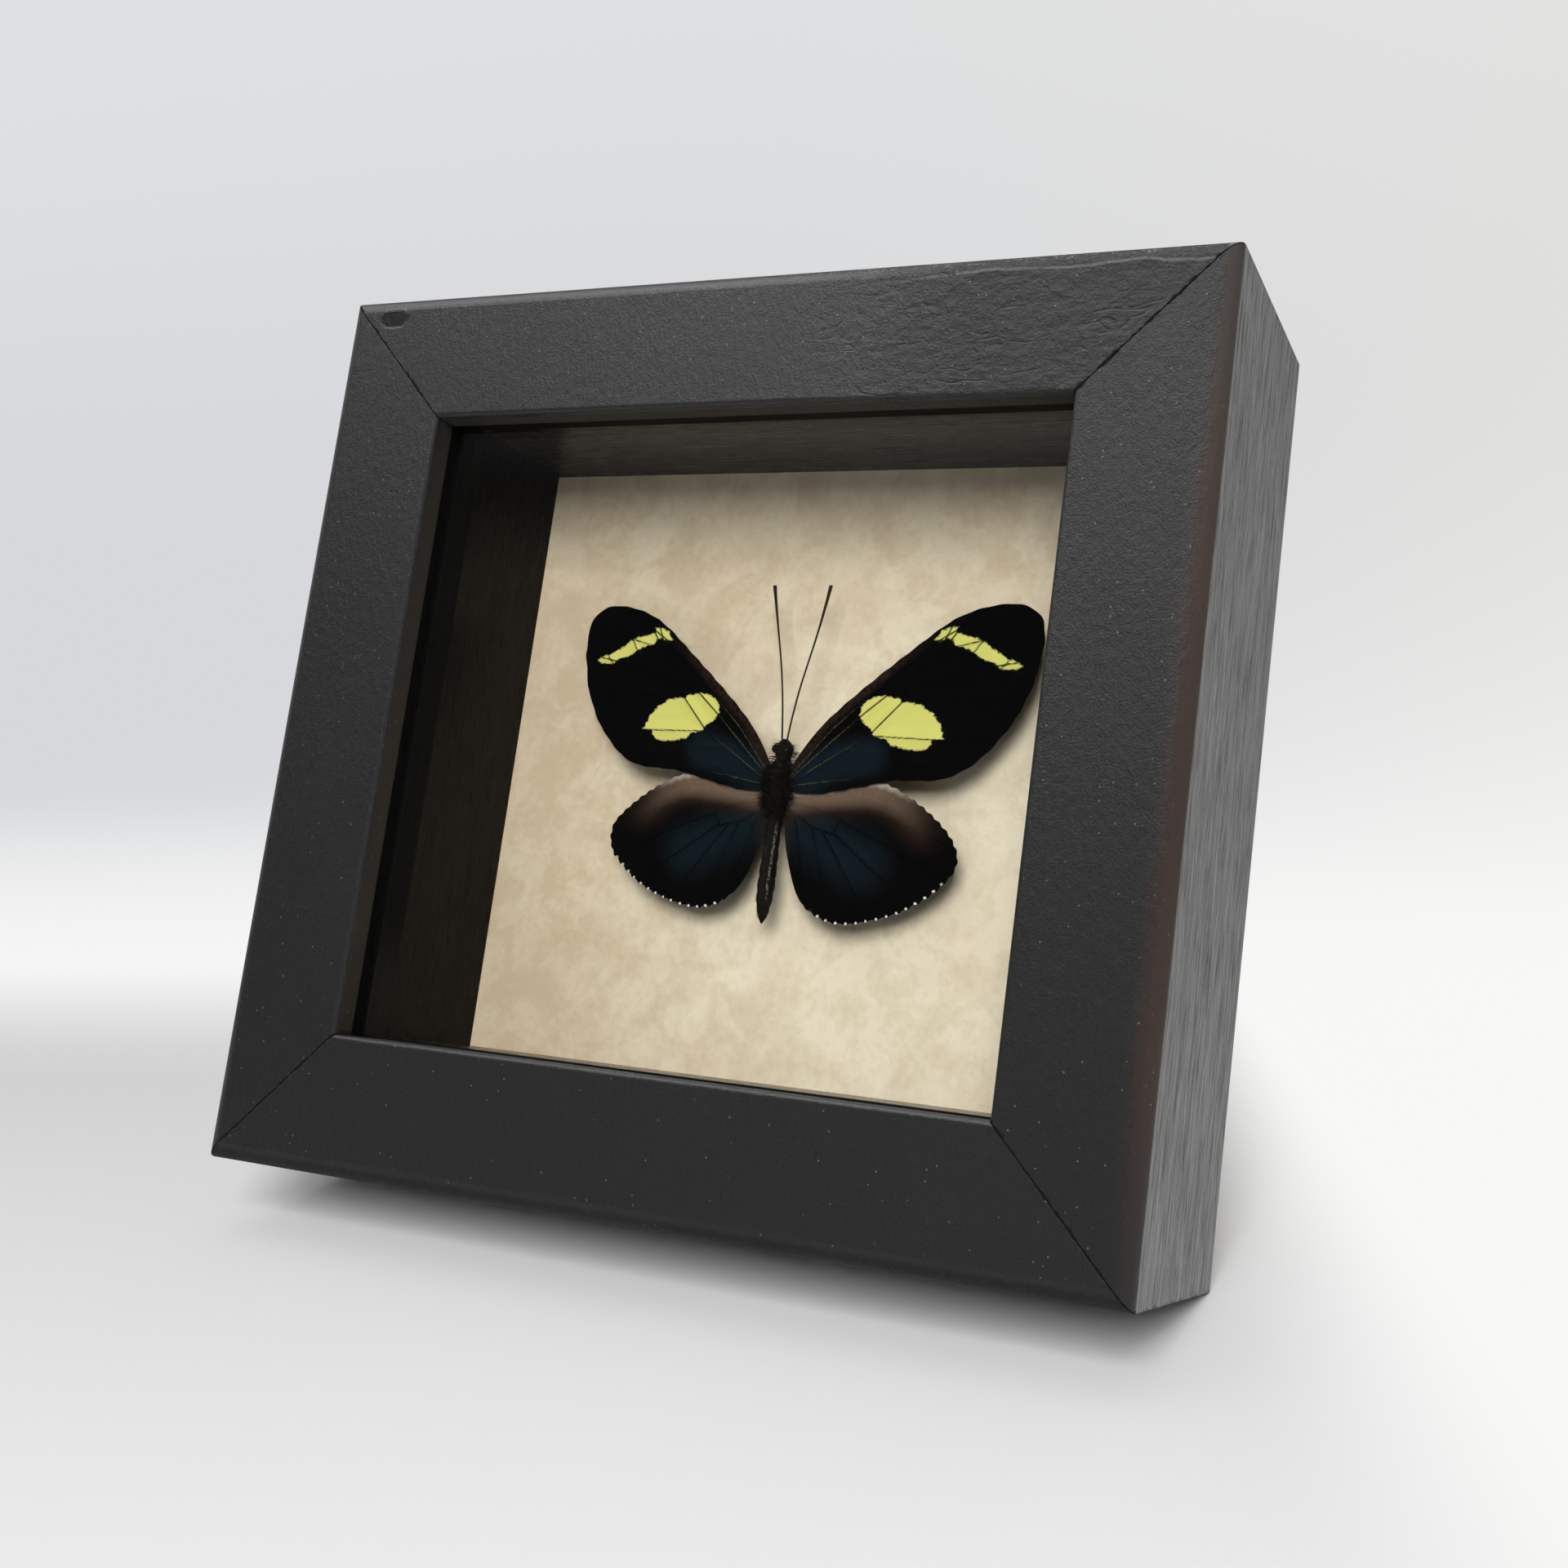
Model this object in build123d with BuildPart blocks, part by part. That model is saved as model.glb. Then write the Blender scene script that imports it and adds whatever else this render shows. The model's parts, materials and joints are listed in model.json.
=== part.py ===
"""Butterfly display case: a mitred wooden box frame that leans back on an easel strut.

The case is drawn in its own axes, which lean back together:
  x  to the right,  depth  from the front face to the rear,  height  along the case from its bottom edge.
World +Z is up, the front faces -Y, and the floor is the plane z = 0. Millimetres.
"""
from build123d import *
from math import cos, radians, sin, sqrt
import os

# ---- driving dimensions: case ----
case_width = 125.0            # outside, left to right
case_height = 118.0           # outside, along the leaning frame
case_depth = 36.5             # front face to rear face of the moulding
face_width = 17.75            # width of the moulding's front face
lip_thickness = 3.3           # front lip that holds the glass
rebate_step = 4.2             # how far the rebate is cut outward from the sight edge
front_edge_radius = 2.2       # rounded outer front edge
sight_edge_radius = 0.7       # eased inner front edge
rear_edge_radius = 2.0        # rounded outer rear edge
mitre_gap = 0.15              # the hairline that shows at each mitre
lean_angle = 18.0             # the case leans back by this much

# ---- driving dimensions: what the rebate holds ----
glass_thickness = 2.0
seal_thickness = 2.5
seal_width = 2.4
glazing_clearance = 0.3       # all round the glass, sheets and backing board
side_spacer_thickness = 3.1
top_spacer_thickness = 1.6
bottom_spacer_thickness = 4.4
parchment_thickness = 0.3
mount_board_thickness = 3.0
backing_thickness = 2.5
backing_recess = 0.3          # the backing board sits this far inside the moulding's rear face

# ---- driving dimensions: butterfly ----
body_x = 0.9                  # the specimen sits a little right of centre
wing_drop = 2.5               # from the case's centre down to the wing roots
specimen_standoff = 5.2       # from the parchment to the body's axis
forewing_lead = 0.3           # the forewings lie this far in front of the body's axis
hindwing_lag = 0.1            # the hindwings lie this far behind it
wing_thickness = 0.25
abdomen_reach = 17.9          # from the wing roots down to the abdomen's tip
antenna_root = 6.7            # from the wing roots up to the antennae
antenna_root_spread = 0.5
antenna_tip_spread = 4.2
antenna_bow = 1.8             # how far an antenna bows in at the middle of its length
antenna_height = 21.6
antenna_radius = 0.16
club_radius = 0.34
club_length = 1.8
pin_radius = 0.3
pin_above_roots = 0.6
pin_depth_in_board = 2.0

# ---- driving dimensions: turn buttons ----
button_length = 16.0
button_width = 8.0
button_thickness = 1.2
button_spread = 32.0          # from the case's centre line to each button
button_screw_wood = 4.15      # wood between a button's screw and the rebate
button_float = 0.15           # play of a button under its screw head and over the wood
screw_shaft_radius = 1.4
screw_length = 9.0
screw_head_radius = 2.7
screw_head_height = 1.4
screw_head_edge = 0.7         # rounding of the screw head's rim
drive_slot_width = 0.7
drive_slot_depth = 0.7
drive_slot_turn = 35.0
running_clearance = 0.05      # between a turning piece and its screw or pin
fixed_clearance = 0.02        # between a fixed screw or rivet and its hole

# ---- driving dimensions: strut and its hinge ----
hinge_from_top = 34.0         # from the case's top edge down to the hinge axis
hinge_width = 20.4
centre_knuckle = 9.8
knuckle_side_gap = 0.2
knuckle_radius = 1.9
hinge_pin_radius = 1.0
hinge_pin_overhang = 0.4
hinge_pin_chamfer = 0.25
leaf_thickness = 0.8
leaf_corner_radius = 1.2
leaf_overlap = 1.0            # how far a knuckle's strap runs on into its leaf
stop_gap = 0.1                # between the stop tongue and the board leaf when open
board_leaf_length = 14.0
strut_leaf_length = 12.0
closed_gap = 0.3              # strut leaf to backing board when the strut is folded flat
strut_swing = 10.0            # angle of the open strut from the vertical
strut_thickness = 3.0
strut_top_width = 21.0
strut_foot_width = 34.0
strut_start = 2.6             # from the hinge axis to the strut's top edge
strut_corner_radius = 3.0
rivet_radius = 1.2
rivet_head_radius = 2.2
rivet_head_height = 0.8
rivet_head_edge = 0.48        # rounding of the rivet head's rim
rivet_spread = 5.8
board_rivet_offset = 9.0      # from the hinge axis, up the board leaf
strut_rivet_offset = 7.5      # from the hinge axis, down the strut leaf

# ---- driving dimensions: hanger ----
hanger_screw_wood = 2.35      # wood between the hanger's screw and the rebate
hanger_screw_offset = 5.2     # from the ring's bar down to the screw
hanger_width = 7.0
hanger_plate_length = 8.0
hanger_thickness = 0.8
ring_wire_radius = 0.75
ring_width = 10.6
ring_length = 8.6
ring_bar_corner = 1.3
ring_loop_corner = 4.6

# ---- driving dimensions: corner nails ----
corner_nail_leg = 4.0
corner_nail_thickness = 0.6
corner_nail_depth = 8.0
corner_nail_edge_distance = 7.5

# ---- worked out from the sizes above ----
lean = radians(lean_angle)
swing = radians(strut_swing)
to_right = Vector(1, 0, 0)
to_rear = Vector(0, cos(lean), -sin(lean))
up_case = Vector(0, sin(lean), cos(lean))

glass_front = lip_thickness
seal_front = glass_front + glass_thickness
spacer_front = seal_front + seal_thickness
backing_rear = case_depth - backing_recess
backing_front = backing_rear - backing_thickness
mount_board_front = backing_front - mount_board_thickness
parchment_front = mount_board_front - parchment_thickness
spacer_depth = parchment_front - spacer_front

wall_thickness = face_width - rebate_step
rebate_width = case_width - 2 * wall_thickness
rebate_height = case_height - 2 * wall_thickness
sheet_width = rebate_width - 2 * glazing_clearance
sheet_height = rebate_height - 2 * glazing_clearance
centre_height = case_height / 2
wing_height = centre_height - wing_drop
body_depth = parchment_front - specimen_standoff
forewing_depth = body_depth - forewing_lead
hindwing_depth = body_depth + hindwing_lag
body_foot_height = wing_height - abdomen_reach
antenna_root_height = wing_height + antenna_root

# The rounded rear bottom edge and the strut's foot both stand on z = 0.
hinge_height = case_height - hinge_from_top
hinge_depth = backing_rear + knuckle_radius
bottom_drop = (case_depth - rear_edge_radius) * sin(lean) - rear_edge_radius * cos(lean)
base_z = bottom_drop + rear_edge_radius
hinge_y = hinge_depth * cos(lean) + hinge_height * sin(lean)
hinge_z = base_z - hinge_depth * sin(lean) + hinge_height * cos(lean)
down_strut = Vector(0, sin(swing), -cos(swing))
strut_rear = Vector(0, cos(swing), sin(swing))
strut_front_offset = closed_gap + leaf_thickness - knuckle_radius
strut_rear_offset = strut_front_offset + strut_thickness
strut_reach = (hinge_z + strut_rear_offset * sin(swing)) / cos(swing)
foot_rear_y = hinge_y + strut_reach * sin(swing) + strut_rear_offset * cos(swing)
front_y = front_edge_radius * (cos(lean) + sin(lean) - 1)
base_y = -(front_y + foot_rear_y) / 2      # centres the whole object over the origin

case_origin = Vector(0, base_y, base_z)
hinge_point = Vector(0, base_y + hinge_y, hinge_z)
front = Plane(origin=case_origin, x_dir=to_right, z_dir=-to_rear)
button_edge_distance = wall_thickness - button_screw_wood - screw_shaft_radius
button_heights = (button_edge_distance, case_height - button_edge_distance)
button_places = {
    "top_left": (-button_spread, button_heights[1]),
    "top_right": (button_spread, button_heights[1]),
    "bottom_left": (-button_spread, button_heights[0]),
    "bottom_right": (button_spread, button_heights[0]),
}
hanger_screw_height = case_height - wall_thickness + hanger_screw_wood + screw_shaft_radius
hanger_screw_place = (0, hanger_screw_height)
hanger_height = hanger_screw_height + hanger_screw_offset
board_rivet_places = [(sense * rivet_spread, hinge_height + board_rivet_offset) for sense in (-1, 1)]
strut_rivet_places = [(sense * rivet_spread, strut_rivet_offset) for sense in (-1, 1)]


def at_depth(depth):
    """The case's front plane moved back by a depth; sketches on it use x and height."""
    return front.offset(-depth)


def case_point(x, depth, height):
    return case_origin + to_right * x + to_rear * depth + up_case * height


def save(part, label):
    part.label = label
    export_step(part, f"parts/{label}.step")
    print(f"{label:24s} solids {len(part.solids())}  volume {part.volume:9.2f} mm3")
    return part


os.makedirs("parts", exist_ok=True)


# ---- frame moulding ----
def moulding(label, edge_x, edge_height, inward, length):
    """One mitred side, its profile drawn inward from the outer face and back from the front."""
    outer_middle = case_point(edge_x, 0, edge_height)
    along = inward.cross(to_rear)
    with BuildPart() as side:
        with BuildSketch(Plane(origin=outer_middle, x_dir=inward, z_dir=along)):
            with BuildLine():
                r_front, r_sight, r_rear = front_edge_radius, sight_edge_radius, rear_edge_radius
                Line((r_front, 0), (face_width - r_sight, 0))
                RadiusArc((face_width - r_sight, 0), (face_width, r_sight), -r_sight)
                Polyline(
                    (face_width, r_sight),
                    (face_width, lip_thickness),
                    (wall_thickness, lip_thickness),
                    (wall_thickness, case_depth),
                    (r_rear, case_depth),
                )
                RadiusArc((r_rear, case_depth), (0, case_depth - r_rear), -r_rear)
                Line((0, case_depth - r_rear), (0, r_front))
                RadiusArc((0, r_front), (r_front, 0), -r_front)
            make_face()
        extrude(amount=length / 2, both=True)
        for sense in (-1, 1):
            corner = outer_middle + along * (sense * (length / 2 - mitre_gap / sqrt(2)))
            split(bisect_by=Plane(origin=corner, z_dir=along * sense + inward), keep=Keep.BOTTOM)
        with BuildSketch(at_depth(case_depth)):
            with Locations(*button_places.values(), hanger_screw_place):
                Circle(screw_shaft_radius + fixed_clearance)
        extrude(amount=screw_length, mode=Mode.SUBTRACT)
    return save(side.part, label)


moulding("top_rail", 0, case_height, -up_case, case_width)
moulding("bottom_rail", 0, 0, up_case, case_width)
moulding("left_stile", -case_width / 2, centre_height, to_right, case_height)
moulding("right_stile", case_width / 2, centre_height, -to_right, case_height)

# A V-shaped steel nail is driven into the back of each mitre, one leg in each side.
with BuildPart() as corner_nails:
    with BuildSketch(at_depth(case_depth)):
        for sense_x in (-1, 1):
            for sense_h in (-1, 1):
                nail_x = sense_x * (case_width / 2 - corner_nail_edge_distance)
                nail_h = centre_height + sense_h * (centre_height - corner_nail_edge_distance)
                leg_shift = (corner_nail_leg - corner_nail_thickness) / 2
                with Locations((nail_x - sense_x * leg_shift, nail_h)):
                    Rectangle(corner_nail_leg, corner_nail_thickness)
                with Locations((nail_x, nail_h - sense_h * leg_shift)):
                    Rectangle(corner_nail_thickness, corner_nail_leg)
    extrude(amount=corner_nail_depth)
save(corner_nails.part, "corner_nails")


# ---- glazing and spacers ----
def sheet(label, depth, thickness):
    """A flat sheet that fills the rebate apart from its clearance."""
    with BuildPart() as flat:
        with BuildSketch(at_depth(depth)):
            with Locations((0, centre_height)):
                Rectangle(sheet_width, sheet_height)
        extrude(amount=-thickness)
    return save(flat.part, label)


sheet("glass", glass_front, glass_thickness)

with BuildPart() as glass_seal:
    with BuildSketch(at_depth(seal_front)):
        with Locations((0, centre_height)):
            Rectangle(rebate_width, rebate_height)
            Rectangle(rebate_width - 2 * seal_width, rebate_height - 2 * seal_width, mode=Mode.SUBTRACT)
    extrude(amount=-seal_thickness)
save(glass_seal.part, "glass_seal")


def spacer(label, middle_x, middle_height, width, height):
    """A wooden strip that stands between the seal and the parchment."""
    with BuildPart() as strip:
        with BuildSketch(at_depth(spacer_front)):
            with Locations((middle_x, middle_height)):
                Rectangle(width, height)
        extrude(amount=-spacer_depth)
    return save(strip.part, label)


side_spacer_x = rebate_width / 2 - side_spacer_thickness / 2
inner_width = rebate_width - 2 * side_spacer_thickness
spacer("left_spacer", -side_spacer_x, centre_height, side_spacer_thickness, rebate_height)
spacer("right_spacer", side_spacer_x, centre_height, side_spacer_thickness, rebate_height)
top_spacer_height = centre_height + rebate_height / 2 - top_spacer_thickness / 2
bottom_spacer_height = centre_height - rebate_height / 2 + bottom_spacer_thickness / 2
spacer("top_spacer", 0, top_spacer_height, inner_width, top_spacer_thickness)
spacer("bottom_spacer", 0, bottom_spacer_height, inner_width, bottom_spacer_thickness)

# ---- sheets behind the specimen ----
sheet("parchment", parchment_front, parchment_thickness)
sheet("mount_board", mount_board_front, mount_board_thickness)

with BuildPart() as backing_board:
    with BuildSketch(at_depth(backing_front)):
        with Locations((0, centre_height)):
            Rectangle(sheet_width, sheet_height)
        with Locations(*board_rivet_places):
            Circle(rivet_radius + fixed_clearance, mode=Mode.SUBTRACT)
    extrude(amount=-backing_thickness)
save(backing_board.part, "backing_board")

# ---- butterfly ----
# Each outline is given from the wing root at the body's axis: outward, then up. Right-hand side.
forewing_outline = [
    (1.0, 2.2), (6.0, 9.6), (17.0, 19.4), (23.5, 24.2), (30.0, 25.9), (34.0, 24.4),
    (34.8, 20.0), (33.2, 13.0), (29.4, 6.9), (24.0, 2.8), (16.0, 1.9), (6.0, -0.2), (1.0, 0.2),
]
hindwing_outline = [
    (0.8, -0.6), (6.0, 0.3), (14.0, 1.8), (20.0, -0.6), (25.2, -4.9), (26.2, -8.6),
    (23.4, -12.2), (18.0, -15.4), (10.5, -17.0), (5.2, -14.6), (2.4, -9.0), (1.2, -4.0),
]


def wing(label, outline, sense, depth):
    points = [(body_x + sense * out, wing_height + up) for out, up in outline]
    with BuildPart() as blade:
        with BuildSketch(at_depth(depth)):
            with BuildLine():
                Spline(*points, periodic=True)
            make_face()
        extrude(amount=-wing_thickness)
    return save(blade.part, label)


for side_name, side_sense in (("left", -1), ("right", 1)):
    wing(f"forewing_{side_name}", forewing_outline, side_sense, forewing_depth)
    wing(f"hindwing_{side_name}", hindwing_outline, side_sense, hindwing_depth)

# The body is turned about its own axis: half-width at each height above the abdomen's tip.
body_profile = [
    (0.0, 0.0), (0.8, 1.6), (1.35, 6.0), (1.3, 11.5), (1.25, 14.4), (2.1, 17.0),
    (2.4, 19.0), (1.9, 21.4), (1.05, 22.6), (1.3, 23.8), (0.95, 24.8), (0.0, 25.2),
]
body_axis_plane = Plane(origin=case_point(body_x, body_depth, 0), x_dir=to_right, z_dir=-to_rear)
with BuildPart() as butterfly_body:
    with BuildSketch(body_axis_plane):
        with BuildLine():
            outline_points = [(half, body_foot_height + rise) for half, rise in body_profile]
            Spline(*outline_points)
            Line(outline_points[-1], outline_points[0])
        make_face()
    revolve(axis=Axis(body_axis_plane.origin, up_case))
save(butterfly_body.part, "butterfly_body")


def antenna_point(sense, share):
    """A point along an antenna, from the head (share 0) to the club's tip (share 1)."""
    spread = antenna_root_spread + (antenna_tip_spread - antenna_root_spread) * share
    spread -= antenna_bow * share * (1 - share)
    return case_point(body_x + sense * spread, body_depth, antenna_root_height + antenna_height * share)


club_share = 1 - club_length / antenna_height
with BuildPart() as antennae:
    for sense in (-1, 1):
        with BuildLine():
            stalk = ThreePointArc(*[antenna_point(sense, club_share * k / 2) for k in range(3)])
        with BuildSketch(Plane(origin=stalk @ 0, z_dir=stalk % 0)):
            Circle(antenna_radius)
        sweep(path=stalk)
        with BuildSketch(Plane(origin=stalk @ 1, z_dir=stalk % 1)):
            Circle(club_radius)
        extrude(amount=club_length)
save(antennae.part, "antennae")

with BuildPart() as specimen_pin:
    with BuildSketch(at_depth(body_depth)):
        with Locations((body_x, wing_height + pin_above_roots)):
            Circle(pin_radius)
    extrude(amount=body_depth - mount_board_front - pin_depth_in_board)
save(specimen_pin.part, "specimen_pin")


# ---- turn buttons and their screws ----
def wood_screws(label, places, head_seat):
    """Slotted pan-head screws whose heads sit at a depth behind the moulding's rear face."""
    with BuildPart() as screws:
        with BuildSketch(at_depth(head_seat)):
            with Locations(*places):
                Circle(screw_shaft_radius)
        extrude(amount=head_seat - case_depth + screw_length)
        with BuildSketch(at_depth(head_seat)):
            with Locations(*places):
                Circle(screw_head_radius)
        extrude(amount=-screw_head_height)
        rims = screws.edges().filter_by(GeomType.CIRCLE).group_by(SortBy.RADIUS)[-1]
        rear_rims = rims.group_by(Axis(case_origin, to_rear))[-1]
        fillet(rear_rims, screw_head_edge)
        with BuildSketch(at_depth(head_seat + screw_head_height)):
            with Locations(*places):
                Rectangle(3 * screw_head_radius, drive_slot_width, rotation=drive_slot_turn)
        extrude(amount=drive_slot_depth, mode=Mode.SUBTRACT)
    return save(screws.part, label)


button_front = case_depth + button_float
button_reach = button_length - button_width
for place_name, (button_x, button_h) in button_places.items():
    toward_centre = 1 if button_h < centre_height else -1
    with BuildPart() as turn_button:
        with BuildSketch(at_depth(button_front)):
            with Locations((button_x, button_h + toward_centre * button_reach / 2)):
                SlotCenterToCenter(button_reach, button_width, rotation=90)
            with Locations((button_x, button_h)):
                Circle(screw_shaft_radius + running_clearance, mode=Mode.SUBTRACT)
        extrude(amount=-button_thickness)
    save(turn_button.part, f"turn_button_{place_name}")

wood_screws("turn_button_screws", button_places.values(), button_front + button_thickness + button_float)

# ---- strut hinge ----
# Hinge profiles are drawn about the pin: first away from the leaf's board, then up.
board_side = Plane(origin=hinge_point, x_dir=to_rear, z_dir=to_right)
strut_side = Plane(origin=hinge_point, x_dir=strut_rear, z_dir=to_right)
strut_face = Plane(origin=hinge_point + strut_rear * strut_front_offset, x_dir=to_right, z_dir=strut_rear)
outer_knuckle = (hinge_width - centre_knuckle) / 2 - knuckle_side_gap
outer_knuckle_x = (hinge_width - outer_knuckle) / 2
leaf_start = knuckle_radius + closed_gap
strap_length = leaf_start + leaf_overlap
strut_leaf_edge = closed_gap - knuckle_radius

with BuildPart() as hinge_board_leaf:
    for sense in (-1, 1):
        with BuildSketch(board_side.offset(sense * outer_knuckle_x)):
            Circle(knuckle_radius)
            with Locations((-knuckle_radius + leaf_thickness / 2, strap_length / 2)):
                Rectangle(leaf_thickness, strap_length)
            Circle(hinge_pin_radius + fixed_clearance, mode=Mode.SUBTRACT)
        extrude(amount=outer_knuckle / 2, both=True)
    with BuildSketch(at_depth(backing_rear)):
        plate_length = board_leaf_length - leaf_start
        with Locations((0, hinge_height + leaf_start + plate_length / 2)):
            RectangleRounded(hinge_width, plate_length, leaf_corner_radius)
        with Locations((0, hinge_height + leaf_start + plate_length / 4)):
            Rectangle(hinge_width, plate_length / 2)
        with Locations(*board_rivet_places):
            Circle(rivet_radius + fixed_clearance, mode=Mode.SUBTRACT)
    extrude(amount=-leaf_thickness)
save(hinge_board_leaf.part, "hinge_board_leaf")

# The stop tongue is long enough to meet the board leaf when the strut is open.
open_angle = lean + swing
tongue_front = leaf_thickness
board_leaf_rear = knuckle_radius - leaf_thickness
tongue_length = (tongue_front * cos(open_angle) + board_leaf_rear - stop_gap) / sin(open_angle)

with BuildPart() as hinge_strut_leaf:
    with BuildSketch(strut_side):
        Circle(knuckle_radius)
        with Locations((tongue_front + leaf_thickness / 2, tongue_length / 2)):
            Rectangle(leaf_thickness, tongue_length)
        with Locations((strut_leaf_edge + leaf_thickness / 2, -strap_length / 2)):
            Rectangle(leaf_thickness, strap_length)
        Circle(hinge_pin_radius + running_clearance, mode=Mode.SUBTRACT)
    extrude(amount=centre_knuckle / 2, both=True)
    with BuildSketch(strut_face):
        plate_length = strut_leaf_length - leaf_start
        with Locations((0, leaf_start + plate_length / 2)):
            RectangleRounded(hinge_width, plate_length, leaf_corner_radius)
        with Locations((0, leaf_start + plate_length / 4)):
            Rectangle(hinge_width, plate_length / 2)
        with Locations(*strut_rivet_places):
            Circle(rivet_radius + fixed_clearance, mode=Mode.SUBTRACT)
    extrude(amount=-leaf_thickness)
save(hinge_strut_leaf.part, "hinge_strut_leaf")

with BuildPart() as hinge_pin:
    with BuildSketch(board_side):
        Circle(hinge_pin_radius)
    extrude(amount=hinge_width / 2 + hinge_pin_overhang, both=True)
    chamfer(hinge_pin.edges().filter_by(GeomType.CIRCLE), hinge_pin_chamfer)
save(hinge_pin.part, "hinge_pin")


def rivets(label, seat_plane, places, grip):
    """A pair of rivets: heads stand on the seat plane, shanks run through what they grip."""
    with BuildPart() as pair:
        with BuildSketch(seat_plane):
            with Locations(*places):
                Circle(rivet_head_radius)
        extrude(amount=rivet_head_height)
        fillet(pair.edges().group_by(Axis(seat_plane.origin, seat_plane.z_dir))[-1], rivet_head_edge)
        with BuildSketch(seat_plane):
            with Locations(*places):
                Circle(rivet_radius)
        extrude(amount=-grip)
    return save(pair.part, label)


board_rivet_seat = Plane(
    origin=case_point(0, backing_rear + leaf_thickness, 0), x_dir=-to_right, z_dir=to_rear
)
rivets("board_rivets", board_rivet_seat, board_rivet_places, backing_thickness + leaf_thickness)
strut_rivet_seat = strut_face.offset(strut_thickness)
rivets("strut_rivets", strut_rivet_seat, strut_rivet_places, strut_thickness + leaf_thickness)

# ---- strut ----
with BuildPart() as easel_strut:
    with BuildSketch(strut_face):
        with BuildLine():
            Polyline(
                (-strut_top_width / 2, strut_start),
                (strut_top_width / 2, strut_start),
                (strut_foot_width / 2, strut_reach),
                (strut_foot_width / 2, strut_reach + strut_thickness),
                (-strut_foot_width / 2, strut_reach + strut_thickness),
                (-strut_foot_width / 2, strut_reach),
                close=True,
            )
        top_plate = make_face()
        fillet(top_plate.vertices().group_by(SortBy.DISTANCE)[0], strut_corner_radius)
        with Locations(*strut_rivet_places):
            Circle(rivet_radius + fixed_clearance, mode=Mode.SUBTRACT)
    extrude(amount=strut_thickness)
    split(bisect_by=Plane.XY, keep=Keep.TOP)
save(easel_strut.part, "easel_strut")

# ---- wall hanger ----
loop_radius = ring_wire_radius + running_clearance + hanger_thickness
hanger_depth = case_depth + loop_radius
hanger_point = case_point(0, hanger_depth, hanger_height)

with BuildPart() as hanger_strap:
    with BuildSketch(Plane(origin=hanger_point, x_dir=to_rear, z_dir=to_right)):
        Circle(loop_radius)
        with Locations((-loop_radius + hanger_thickness / 2, -hanger_plate_length / 2)):
            Rectangle(hanger_thickness, hanger_plate_length)
        Circle(ring_wire_radius + running_clearance, mode=Mode.SUBTRACT)
    extrude(amount=hanger_width / 2, both=True)
    with BuildSketch(at_depth(case_depth)):
        with Locations(hanger_screw_place):
            Circle(screw_shaft_radius + fixed_clearance)
    extrude(amount=-hanger_thickness, mode=Mode.SUBTRACT)
save(hanger_strap.part, "hanger_strap")

wood_screws("hanger_screw", [hanger_screw_place], case_depth + hanger_thickness)

# The ring hangs plumb from its bar, whatever the lean.
ring_plane = Plane(origin=hanger_point, x_dir=to_right, z_dir=(0, -1, 0))
ring_corners = [
    (-ring_width / 2, 0), (ring_width / 2, 0), (ring_width / 2, -ring_length), (-ring_width / 2, -ring_length)
]
with BuildPart() as hanger_ring:
    with BuildLine(ring_plane) as ring_line:
        FilletPolyline(
            *ring_corners, radius=[ring_bar_corner, ring_bar_corner, ring_loop_corner, ring_loop_corner], close=True
        )
    ring_path = ring_line.wires()[0]
    with BuildSketch(Plane(origin=ring_path @ 0, z_dir=ring_path % 0)):
        Circle(ring_wire_radius)
    sweep(path=ring_path)
save(hanger_ring.part, "hanger_ring")

print(f"base y {base_y:.3f}  base z {base_z:.3f}  hinge y {base_y + hinge_y:.3f}  hinge z {hinge_z:.3f}")
print(f"hanger {hanger_point.Y:.3f} {hanger_point.Z:.3f}  foot y {base_y + foot_rear_y:.3f}")
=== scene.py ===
"""Butterfly display case: its paint and wear, papers, plated hardware, mounted butterfly and studio.

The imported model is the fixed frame. Everything is in metres in its axes: +Z up, the front faces -Y.
The case leans back, so patterns and the specimen are laid out in the case's own axes:
x to the right, depth from the front face to the rear, height along the case from its foot.
"""
import json
import random
from math import atan2, cos, pi, radians, sin

import bpy
import numpy as np
from bpy.props import FloatProperty, FloatVectorProperty, IntProperty, PointerProperty
from mathutils import Matrix, Vector


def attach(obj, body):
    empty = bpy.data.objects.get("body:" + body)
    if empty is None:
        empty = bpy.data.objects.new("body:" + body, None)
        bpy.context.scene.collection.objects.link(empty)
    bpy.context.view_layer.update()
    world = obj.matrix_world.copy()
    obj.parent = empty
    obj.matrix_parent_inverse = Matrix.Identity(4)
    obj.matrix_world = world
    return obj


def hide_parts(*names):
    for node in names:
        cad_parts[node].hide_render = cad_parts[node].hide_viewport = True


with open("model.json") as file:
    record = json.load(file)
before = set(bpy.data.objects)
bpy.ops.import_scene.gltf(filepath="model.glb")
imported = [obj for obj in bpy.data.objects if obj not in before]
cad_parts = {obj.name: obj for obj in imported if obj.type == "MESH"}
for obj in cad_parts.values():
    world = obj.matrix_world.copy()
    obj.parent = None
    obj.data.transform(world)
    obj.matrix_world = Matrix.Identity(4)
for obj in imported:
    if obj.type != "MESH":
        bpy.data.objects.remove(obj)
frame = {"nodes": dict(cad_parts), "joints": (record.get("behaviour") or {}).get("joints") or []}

bl_info = {
    "name": "Butterfly display case",
    "version": (1, 0, 0),
    "blender": (4, 5, 0),
    "location": "View3D > Sidebar > Display Case",
    "description": "Finishes the display case, mounts the butterfly in it and lights it",
    "category": "Object",
}

# ---- what the frame gives ----
MM = 0.001
JOINTS = {joint["name"]: joint for joint in frame["joints"]}
TO_RIGHT = Vector((1.0, 0.0, 0.0))
TO_REAR = Vector(JOINTS["turn_top_left"]["axis"]).normalized()
UP_CASE = TO_RIGHT.cross(TO_REAR)
LEAN = atan2(-TO_REAR.z, TO_REAR.y)


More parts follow.
